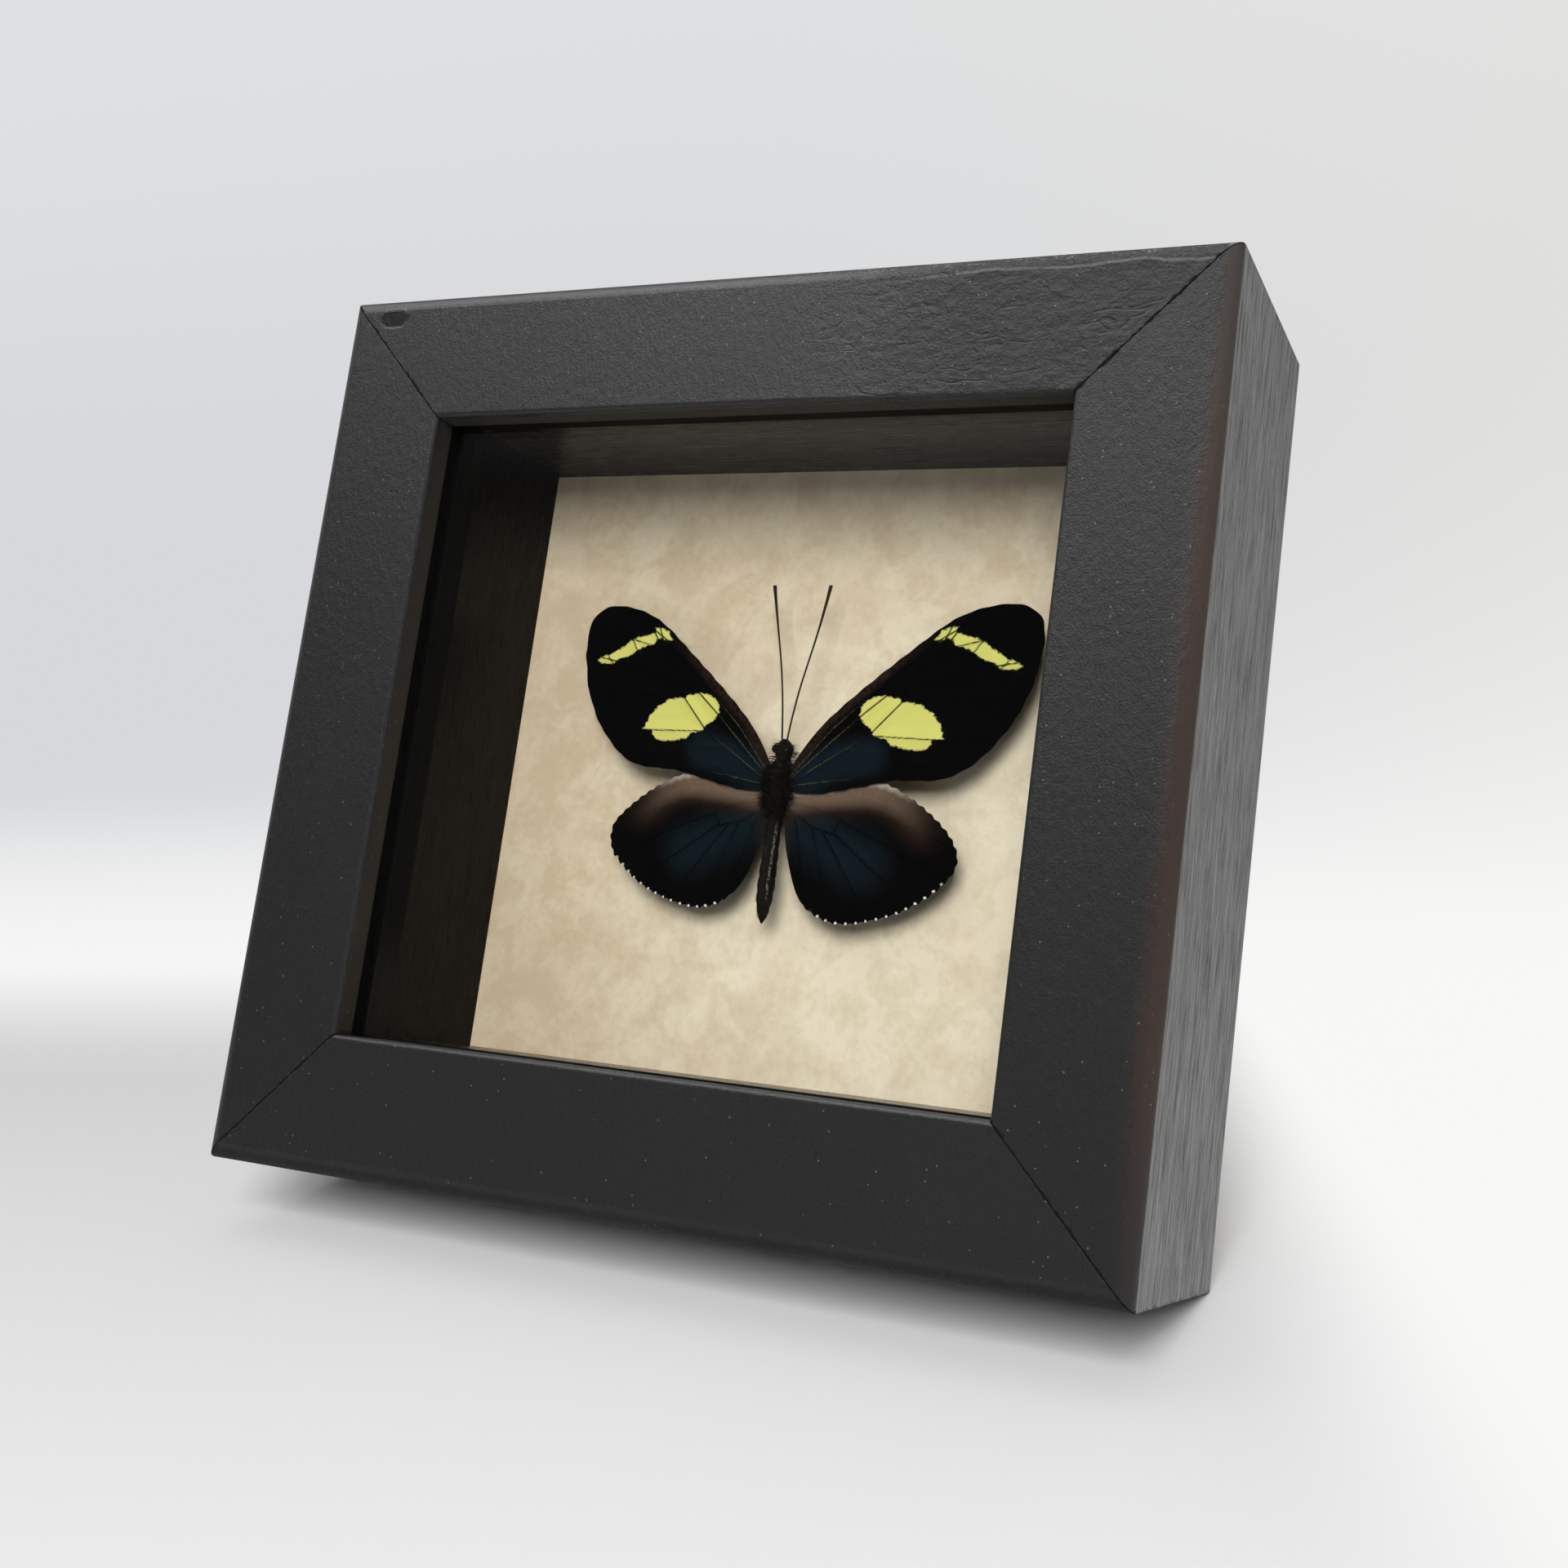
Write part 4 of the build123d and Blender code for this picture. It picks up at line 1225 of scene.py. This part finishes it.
def hindwing_material(settings):
    """Black with a blue middle, a pale costal sheen, a brown inner margin and a dotted fringe."""
    material, shading = new_material("hindwing_scales")
    wing = Scales(shading)
    u, v = wing.u, wing.v
    blue = wing.strayed("blue_gap", 1.6).step(6.8, 1.6)
    blue = blue * wing.fine.step(0.1, 0.6) * (1.0 - wing.vein * 0.85)
    tint = shading.blend(blue, settings.black, settings.blue)
    brown = u.step(3.4, 1.0) * v.step(-2.0, -6.0) * 0.6
    tint = shading.blend(brown, tint, settings.brown)
    sheen_gap = wing.strayed("sheen_gap", 0.5)
    warm = sheen_gap.step(5.2, 1.4) * u.step(27.0, 16.0)
    tint = shading.blend(warm, tint, settings.brown)
    pale = sheen_gap.step(3.4, 0.9) * u.step(23.0, 13.0) * (0.45 + wing.drift * 0.6)
    tint = shading.blend(pale, tint, settings.sheen)
    margin_gap = shading.attribute("margin_gap")
    rim = margin_gap.step(0.9, 0.1) * v.step(-1.4, 0.2)
    tint = shading.blend(rim * u.step(21.0, 14.0) * 0.6, tint, PALE_RIM)
    beat = shading.math("SINE", shading.attribute("margin_run") * (2 * pi / FRINGE_PITCH))
    dots = beat.step(0.55, 0.85) * margin_gap.step(0.36, 0.18) * 0.8
    dots = dots * v.step(-10.0, -11.5) * u.step(6.5, 8.0)
    return wing.cover(material, shading.blend(dots, tint, settings.fringe))


class CASE_OT_make_wings(bpy.types.Operator):
    """Models the four wings and colours their scales"""

    bl_idname = "display_case.make_wings"
    bl_label = "Make wings"

    def execute(self, context):
        settings = context.scene.case_specimen
        materials = {"forewing": forewing_material(settings), "hindwing": hindwing_material(settings)}
        for kind, material in materials.items():
            for sense in (-1, 1):
                make_wing(kind, sense, settings, material)
        return {"FINISHED"}


# ---- body and antennae ----
# Rings of the body from the abdomen's tip to the head: height, half width, half depth, forward shift.
BODY_RINGS = (
    (-17.9, 0.05, 0.05, 0.0), (-17.3, 0.45, 0.5, 0.0), (-16.2, 0.80, 0.9, 0.05), (-14.8, 1.02, 1.2, 0.1),
    (-12.8, 1.10, 1.35, 0.1), (-10.8, 1.06, 1.35, 0.1), (-8.8, 1.0, 1.3, 0.1), (-6.8, 0.95, 1.2, 0.1),
    (-4.9, 0.9, 1.15, 0.1), (-3.6, 1.0, 1.2, 0.15), (-2.8, 1.3, 1.6, 0.2), (-1.4, 1.6, 2.0, 0.3),
    (0.4, 1.75, 2.25, 0.35), (2.2, 1.6, 2.1, 0.3), (3.4, 1.25, 1.6, 0.2), (4.1, 0.9, 1.0, 0.1),
    (4.7, 1.15, 1.15, 0.1), (5.5, 1.25, 1.2, 0.1), (6.3, 0.95, 0.95, 0.1), (6.9, 0.4, 0.4, 0.1),
)
BODY_SIDES = 40
SEGMENT_PITCH = 1.95                 # length of one ring of the abdomen, in mm
SEGMENT_GROOVE = 0.07
ABDOMEN_TOP = -3.6
SHELL_STEPS = 150
EYE_RADIUS = 0.62
EYE_PLACE = (0.98, 5.5, 0.55)
HAIR_FROM, HAIR_TO = -17.0, 6.6      # heights between which hair grows, in mm from the wing roots
FUR_MIDDLE = (0.4, 2.2)              # height of the thickest fur and how far it spreads
LONG_HAIR_THICKNESS = 0.032
SHORT_HAIR_THICKNESS = 0.022
HAIR_SEED = 41
SKIN = (0.004, 0.0035, 0.003)
DUSTED_SKIN = (0.022, 0.016, 0.011)
SKIN_DOTS = (0.55, 0.53, 0.38)
SKIN_LINE = (0.30, 0.29, 0.26)
DARK_HAIR = (0.004, 0.003, 0.002)
GREY_HAIR = (0.022, 0.017, 0.012)


def ring_at(height):
    """Half width, half depth and forward shift of the body at a height, smoothly between its rings."""
    heights = [ring[0] for ring in BODY_RINGS]
    columns = ([ring[column] for ring in BODY_RINGS] for column in (1, 2, 3))
    values = [float(np.interp(height, heights, column)) for column in columns]
    if height < ABDOMEN_TOP:
        groove = 1 - SEGMENT_GROOVE * (0.5 + 0.5 * cos(2 * pi * height / SEGMENT_PITCH)) ** 3
        values[0] *= groove
        values[1] *= groove
    return values


def body_shell():
    """Abdomen, thorax and head, drawn up ring by ring from the abdomen's tip."""
    lowest, highest = BODY_RINGS[0][0], BODY_RINGS[-1][0]
    heights = [lowest + (highest - lowest) * k / SHELL_STEPS for k in range(SHELL_STEPS + 1)]
    deselect_all()
    bpy.ops.mesh.primitive_circle_add(vertices=BODY_SIDES, fill_type="NGON", location=(0, 0, 0))
    shell = bpy.context.object
    half_width, half_depth, shift = ring_at(heights[0])
    for vertex in shell.data.vertices:
        vertex.co = (vertex.co.x * half_width, heights[0], vertex.co.y * half_depth + shift)
    bpy.ops.object.mode_set(mode="EDIT")
    bpy.ops.mesh.select_all(action="SELECT")
    for low, high in zip(heights, heights[1:]):
        old, new = ring_at(low), ring_at(high)
        moved = (0, high - low, new[2] - old[2])
        grown = (new[0] / old[0], 1.0, new[1] / old[1])
        bpy.ops.mesh.extrude_region_move(TRANSFORM_OT_translate={"value": moved})
        bpy.ops.transform.resize(value=grown, center_override=(0, high, new[2]))
    bpy.ops.mesh.select_all(action="SELECT")
    bpy.ops.mesh.normals_make_consistent(inside=False)
    bpy.ops.object.mode_set(mode="OBJECT")
    return shell


def add_eyes(shell):
    """A round eye on each side of the head, joined to the shell."""
    eyes = []
    for sense in (-1, 1):
        deselect_all()
        bpy.ops.mesh.primitive_uv_sphere_add(
            segments=24, ring_count=16, radius=EYE_RADIUS, location=(sense * EYE_PLACE[0], *EYE_PLACE[1:])
        )
        eyes.append(bpy.context.object)
        bpy.ops.object.transform_apply(location=True, rotation=True, scale=True)
    make_active(shell)
    for eye in eyes:
        eye.select_set(True)
    bpy.ops.object.join()


def body_hair(count, dice):
    """Fine tapered hairs over the thorax, head and upper abdomen, as one mesh."""
    points, faces = [], []
    for _ in range(count):
        heights = (dice.gauss(*FUR_MIDDLE), dice.gauss(*FUR_MIDDLE), dice.uniform(HAIR_FROM, HAIR_TO))
        height = min(max(dice.choice(heights), HAIR_FROM), HAIR_TO)
        angle = dice.uniform(0, 2 * pi)
        half_width, half_depth, shift = ring_at(height)
        skin = Vector((half_width * cos(angle), height, half_depth * sin(angle) + shift))
        out = Vector((cos(angle), 0, sin(angle))).normalized()
        long_hair = height > ABDOMEN_TOP
        length = dice.uniform(0.7, 1.8) if long_hair else dice.uniform(0.2, 0.5)
        droop = dice.uniform(-0.9, 0.3) if long_hair else dice.uniform(-1.4, -0.7)
        way = (out + Vector((dice.gauss(0, 0.35), droop, dice.gauss(0, 0.25)))).normalized()
        across = way.orthogonal().normalized()
        other = way.cross(across)
        thickness = LONG_HAIR_THICKNESS if long_hair else SHORT_HAIR_THICKNESS
        base = len(points)
        tip = base + 6
        root = skin - out * 0.05
        for centre, width in ((root, thickness), (root + way * length * 0.55, thickness * 0.7)):
            for side in range(3):
                turn = 2 * pi * side / 3
                points.append(centre + (across * cos(turn) + other * sin(turn)) * width)
        points.append(root + way * length + Vector((0, -0.12, 0)) * length)
        faces.append((base + 2, base + 1, base))
        for side in range(3):
            following = (side + 1) % 3
            faces.append((base + side, base + following, base + 3 + following, base + 3 + side))
            faces.append((base + 3 + side, base + 3 + following, tip))
    mesh = bpy.data.meshes.new("body_hair")
    mesh.from_pydata(points, [], faces)
    mesh.update()
    hair = bpy.data.objects.new("body_hair", mesh)
    bpy.context.scene.collection.objects.link(hair)
    return hair


def body_material():
    """Black skin with grey-brown dusting, pale dots on head and thorax, and a pale line down the abdomen."""
    material, shading = new_material("insect_skin")
    place = case_place(shading)
    x, _, height = shading.split(place)
    v = height - ROOT_HEIGHT
    dusting = shading.noise(place, 3.0, 4.0, 0.7)
    skin = shading.blend(dusting.step(0.4, 0.8), SKIN, DUSTED_SKIN)
    dots = specks(shading, place, spacing=0.8, size=0.17, share=0.6) * v.step(2.6, 3.6)
    skin = shading.blend(dots, skin, SKIN_DOTS)
    line = (x - ROOT_X).gap(0.72).step(0.13, 0.05)
    line = line * v.step(-4.0, -6.0) * v.step(-15.5, -13.0)
    line = line * dusting.step(0.4, 0.6) * 0.7
    skin = shading.blend(line, skin, SKIN_LINE)
    gloss = 0.55 + dusting * 0.3
    return cover(material, skin, gloss, dusting * 0.06, shine=0.12)


def hair_material():
    """Dark brown hair, greyer in places."""
    material, shading = new_material("insect_hair")
    greyness = shading.noise(case_place(shading), 1.4, 3.0, 0.6).step(0.4, 0.75)
    return cover(material, shading.blend(greyness, DARK_HAIR, GREY_HAIR), 0.7, shine=0.12)


class CASE_OT_make_body(bpy.types.Operator):
    """Models the butterfly's body, eyes and hair"""

    bl_idname = "display_case.make_body"
    bl_label = "Make body"

    def execute(self, context):
        settings = context.scene.case_specimen
        shell = body_shell()
        add_eyes(shell)
        shade_smooth(shell)
        settle_specimen_piece(shell, "body_shell", "butterfly_body", body_material())
        hair = body_hair(settings.hairs, random.Random(HAIR_SEED))
        settle_specimen_piece(hair, "body_hair", "butterfly_body", hair_material())
        return {"FINISHED"}


# Points of each antenna from the head to its tip, in millimetres from the wing roots: u, v, w.
ANTENNAE = (
    ((-0.35, 6.5, 0.4), (-0.75, 12.0, 0.9), (-1.9, 17.4, 0.6), (-3.6, 23.4, 0.4), (-4.6, 28.0, 0.5)),
    ((0.35, 6.5, 0.4), (1.1, 12.0, 0.9), (2.1, 17.2, 0.7), (3.1, 22.8, 0.4), (3.9, 28.1, 0.5)),
)
ANTENNA_RADIUS = 0.125
CLUB_SWELL = 2.1
RING_RATE = 14.0                     # radians of the ringed pattern for each millimetre up an antenna
ANTENNA_DARK = (0.008, 0.005, 0.003)
ANTENNA_PALE = (0.028, 0.017, 0.010)


def antenna_curve(points):
    """A stalk that swells into a slender club at its tip."""
    deselect_all()
    bpy.ops.curve.primitive_nurbs_path_add(location=(0, 0, 0))
    stalk = bpy.context.object
    curve = stalk.data
    curve.splines.clear()
    spline = curve.splines.new("NURBS")
    spline.points.add(len(points) - 1)
    for number, (point, place) in enumerate(zip(spline.points, points)):
        point.co = (*place, 1.0)
        point.radius = CLUB_SWELL if number == len(points) - 1 else 1.0
    spline.order_u = 4
    spline.use_endpoint_u = True
    spline.resolution_u = 24
    curve.dimensions = "3D"
    curve.bevel_depth = ANTENNA_RADIUS
    curve.bevel_resolution = 3
    curve.use_fill_caps = True
    make_active(stalk)
    bpy.ops.object.convert(target="MESH")
    return bpy.context.object


def antenna_material():
    """Dark brown, ringed antennae."""
    material, shading = new_material("antenna_skin")
    _, _, height = shading.split(case_place(shading))
    rings = shading.math("SINE", height * RING_RATE).step(-0.4, 0.6)
    tint = shading.blend(rings, ANTENNA_DARK, ANTENNA_PALE)
    return cover(material, tint, 0.45, rings * 0.01)


class CASE_OT_make_antennae(bpy.types.Operator):
    """Models the two clubbed antennae"""

    bl_idname = "display_case.make_antennae"
    bl_label = "Make antennae"

    def execute(self, context):
        material = antenna_material()
        for side, points in zip(("left", "right"), ANTENNAE):
            stalk = antenna_curve(points)
            shade_smooth(stalk)
            settle_specimen_piece(stalk, f"antenna_{side}", "antennae", material)
        return {"FINISHED"}


# ---- studio ----
SWEEP_HALF_WIDTH = 1.6
SWEEP_FRONT = -1.4                  # y where the paper begins
SWEEP_RISE_FROM = 0.30              # y where it starts to rise
SWEEP_AWAY = (-0.391, 0.9205)       # level direction the camera looks in
SWEEP_BLEND = (0.05, 0.15)          # distance away over which the floor passes into the painted glow of the background
SWEEP_ASIDE = (0.052, 0.085)        # the same to the right of the case, where the glow paints out the case's shadow
SWEEP_NEAR = (-0.16, -0.36)         # the same in front of the case, under the lamp, where the glow paints over floor the lamp leaves dark
SWEEP_RADIUS = 0.55
SWEEP_TOP = 1.6
# Painted glow of the paper where it rises, as the camera sees it, with painted shade: near, far and high up.
LEFT_PAINTED_GLOW = ((0.90, 0.90, 0.90), (0.675, 0.685, 0.71), (0.74, 0.745, 0.755))
RIGHT_PAINTED_GLOW = ((0.94, 0.94, 0.93), (0.745, 0.74, 0.725), (0.77, 0.77, 0.76))
LAMP_AIM = (0.0, 0.0, 0.06)
KEY_PLACE, KEY_SIZE = (0.19, -0.62, 0.46), 0.34
TOP_PLACE, TOP_SIZE = (-0.12, -0.22, 0.85), 0.6
SHEEN_PLACE, SHEEN_SIZE = (-0.30, -0.34, 0.95), 0.4
WORLD_SEEN = 0.74                   # brightness of the world where the camera sees it
WORLD_DARKEST = 0.02


def sweep_material(settings):
    """Matt paper; where it rises, the camera sees a painted glow, with painted shade that dims it to the
    left and half way up; the glow also covers the floor beside and in front of the case.
    """
    material, shading = new_material("sweep_paper")
    cover(material, settings.paper, 0.9, shine=0.1)
    x, y, height = shading.split(shading.coordinates("Object"))
    away = x * SWEEP_AWAY[0] + y * SWEEP_AWAY[1]
    aside = x * SWEEP_AWAY[1] - y * SWEEP_AWAY[0]
    near, far, high = LEFT_PAINTED_GLOW
    left = shading.blend(away.step(0.12, 0.45), near, far)
    left = shading.blend(height.step(0.08, 0.50), left, high)
    near, far, high = RIGHT_PAINTED_GLOW
    right = shading.blend(away.step(0.12, 0.70), near, far)
    right = shading.blend(height.step(0.12, 0.50), right, high)
    # Painted glow with painted shade, dimmer to the left.
    grey = shading.blend(x.step(-0.55, 0.25), left, right)
    # The glow also paints over the case's shadow to the right and the unlit floor in front.
    mask = away.step(*SWEEP_BLEND).larger(aside.step(*SWEEP_ASIDE))
    mask = mask.larger(away.step(*SWEEP_NEAR))
    return mix_in(material, shading.ray("Camera") * mask, "ShaderNodeEmission", grey)


def make_sweep(settings):
    """A sheet of paper that lies flat under the case and curves up behind it."""
    deselect_all()
    bpy.ops.mesh.primitive_grid_add(x_subdivisions=2, y_subdivisions=90, size=1.0, location=(0, 0, 0))
    sweep = bpy.context.object
    sweep.name = "paper_sweep"
    flat = SWEEP_RISE_FROM - SWEEP_FRONT
    quarter = SWEEP_RADIUS * pi / 2
    for vertex in sweep.data.vertices:
        run = (vertex.co.y + 0.5) * (flat + quarter + SWEEP_TOP)
        turn = min(max((run - flat) / SWEEP_RADIUS, 0.0), pi / 2)
        rise = max(run - flat - quarter, 0.0)
        y = SWEEP_FRONT + min(run, flat) + SWEEP_RADIUS * sin(turn)
        z = SWEEP_RADIUS * (1 - cos(turn)) + rise
        vertex.co = (vertex.co.x * 2 * SWEEP_HALF_WIDTH, y, z)
    shade_smooth(sweep, radians(60))
    sweep.data.materials.append(sweep_material(settings))


def add_lamp(name, place, size, power, diffuse=True, glossy=True):
    """A square soft lamp over the case that lights matt surfaces, shiny ones or both."""
    data = bpy.data.lights.new(name, "AREA")
    data.size = size
    data.energy = power
    lamp = bpy.data.objects.new(name, data)
    bpy.context.scene.collection.objects.link(lamp)
    lamp.location = place
    lamp.rotation_euler = (Vector(LAMP_AIM) - Vector(place)).to_track_quat("-Z", "Y").to_euler()
    lamp.visible_camera = False
    lamp.visible_diffuse = diffuse
    lamp.visible_glossy = glossy
    lamp.visible_transmission = False


def make_world(settings):
    """Pale light from above and behind; low down in front the room is dark, so the glass stays clear."""
    world = bpy.data.worlds.new("studio_world")
    bpy.context.scene.world = world
    world.use_nodes = True
    world.node_tree.nodes.clear()
    shading = Shading(world.node_tree)
    sideways, forward, upward = shading.split(shading.coordinates("Generated"))
    behind = forward.step(-0.3, 0.3, 0.0, 0.8)
    above = (upward + sideways * -0.25).step(0.64, 0.92)
    above = above * (1.0 + shading.ray("Glossy") * 1.1)
    right = sideways.step(0.18, 0.60, 0.0, 0.55)
    level = (behind.larger(right).larger(above) + WORLD_DARKEST) * (1.0 - shading.ray("Diffuse") * 0.7)
    level = level.larger(shading.ray("Camera") * WORLD_SEEN)
    background = shading.node("ShaderNodeBackground")
    shading.feed(background.inputs["Color"], (1.0, 1.0, 1.0))
    shading.feed(background.inputs["Strength"], level * settings.world_strength)
    output = shading.node("ShaderNodeOutputWorld")
    shading.feed(output.inputs["Surface"], background.outputs[0])


def make_camera(settings):
    data = bpy.data.cameras.new("studio_camera")
    data.sensor_width = 36.0
    data.lens = settings.focal_length
    data.shift_x, data.shift_y = settings.shift
    camera = bpy.data.objects.new("studio_camera", data)
    bpy.context.scene.collection.objects.link(camera)
    camera.location = settings.camera_place
    camera.rotation_euler = settings.camera_turn
    data.clip_start = 0.01
    bpy.context.scene.camera = camera


class CASE_OT_set_stage(bpy.types.Operator):
    """Lays the paper sweep and sets the lamps, the world and the camera"""

    bl_idname = "display_case.set_stage"
    bl_label = "Set stage"

    def execute(self, context):
        settings = context.scene.case_studio
        context.scene.view_settings.view_transform = "Standard"
        make_camera(settings)
        make_sweep(settings)
        make_world(settings)
        add_lamp("key_lamp", KEY_PLACE, KEY_SIZE, settings.key_power, glossy=False)
        add_lamp("top_lamp", TOP_PLACE, TOP_SIZE, settings.top_power)
        add_lamp("sheen_lamp", SHEEN_PLACE, SHEEN_SIZE, settings.sheen_power, diffuse=False)
        return {"FINISHED"}


# ---- panel and registration ----
OPERATORS = (
    CASE_OT_set_stage,
    CASE_OT_paint_moulding,
    CASE_OT_finish_interior,
    CASE_OT_glaze,
    CASE_OT_finish_back,
    CASE_OT_make_wings,
    CASE_OT_make_body,
    CASE_OT_make_antennae,
)
SETTINGS = {
    "case_moulding": MouldingSettings,
    "case_interior": InteriorSettings,
    "case_back": BackSettings,
    "case_specimen": SpecimenSettings,
    "case_studio": StudioSettings,
}


class CASE_PT_panel(bpy.types.Panel):
    """Lists what the add-on makes"""

    bl_idname = "CASE_PT_panel"
    bl_label = "Display case"
    bl_space_type = "VIEW_3D"
    bl_region_type = "UI"
    bl_category = "Display Case"

    def draw(self, context):
        for operator in OPERATORS:
            self.layout.operator(operator.bl_idname)


def register():
    for settings in SETTINGS.values():
        bpy.utils.register_class(settings)
    for name, settings in SETTINGS.items():
        setattr(bpy.types.Scene, name, PointerProperty(type=settings))
    for operator in OPERATORS:
        bpy.utils.register_class(operator)
    bpy.utils.register_class(CASE_PT_panel)


def unregister():
    bpy.utils.unregister_class(CASE_PT_panel)
    for operator in reversed(OPERATORS):
        bpy.utils.unregister_class(operator)
    for name in SETTINGS:
        delattr(bpy.types.Scene, name)
    for settings in reversed(SETTINGS.values()):
        bpy.utils.unregister_class(settings)


def main():
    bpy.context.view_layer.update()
    register()
    bpy.ops.display_case.set_stage()
    bpy.ops.display_case.paint_moulding()
    bpy.ops.display_case.finish_interior()
    bpy.ops.display_case.glaze()
    bpy.ops.display_case.finish_back()
    bpy.ops.display_case.make_wings()
    bpy.ops.display_case.make_body()
    bpy.ops.display_case.make_antennae()


if __name__ == "__main__":
    main()
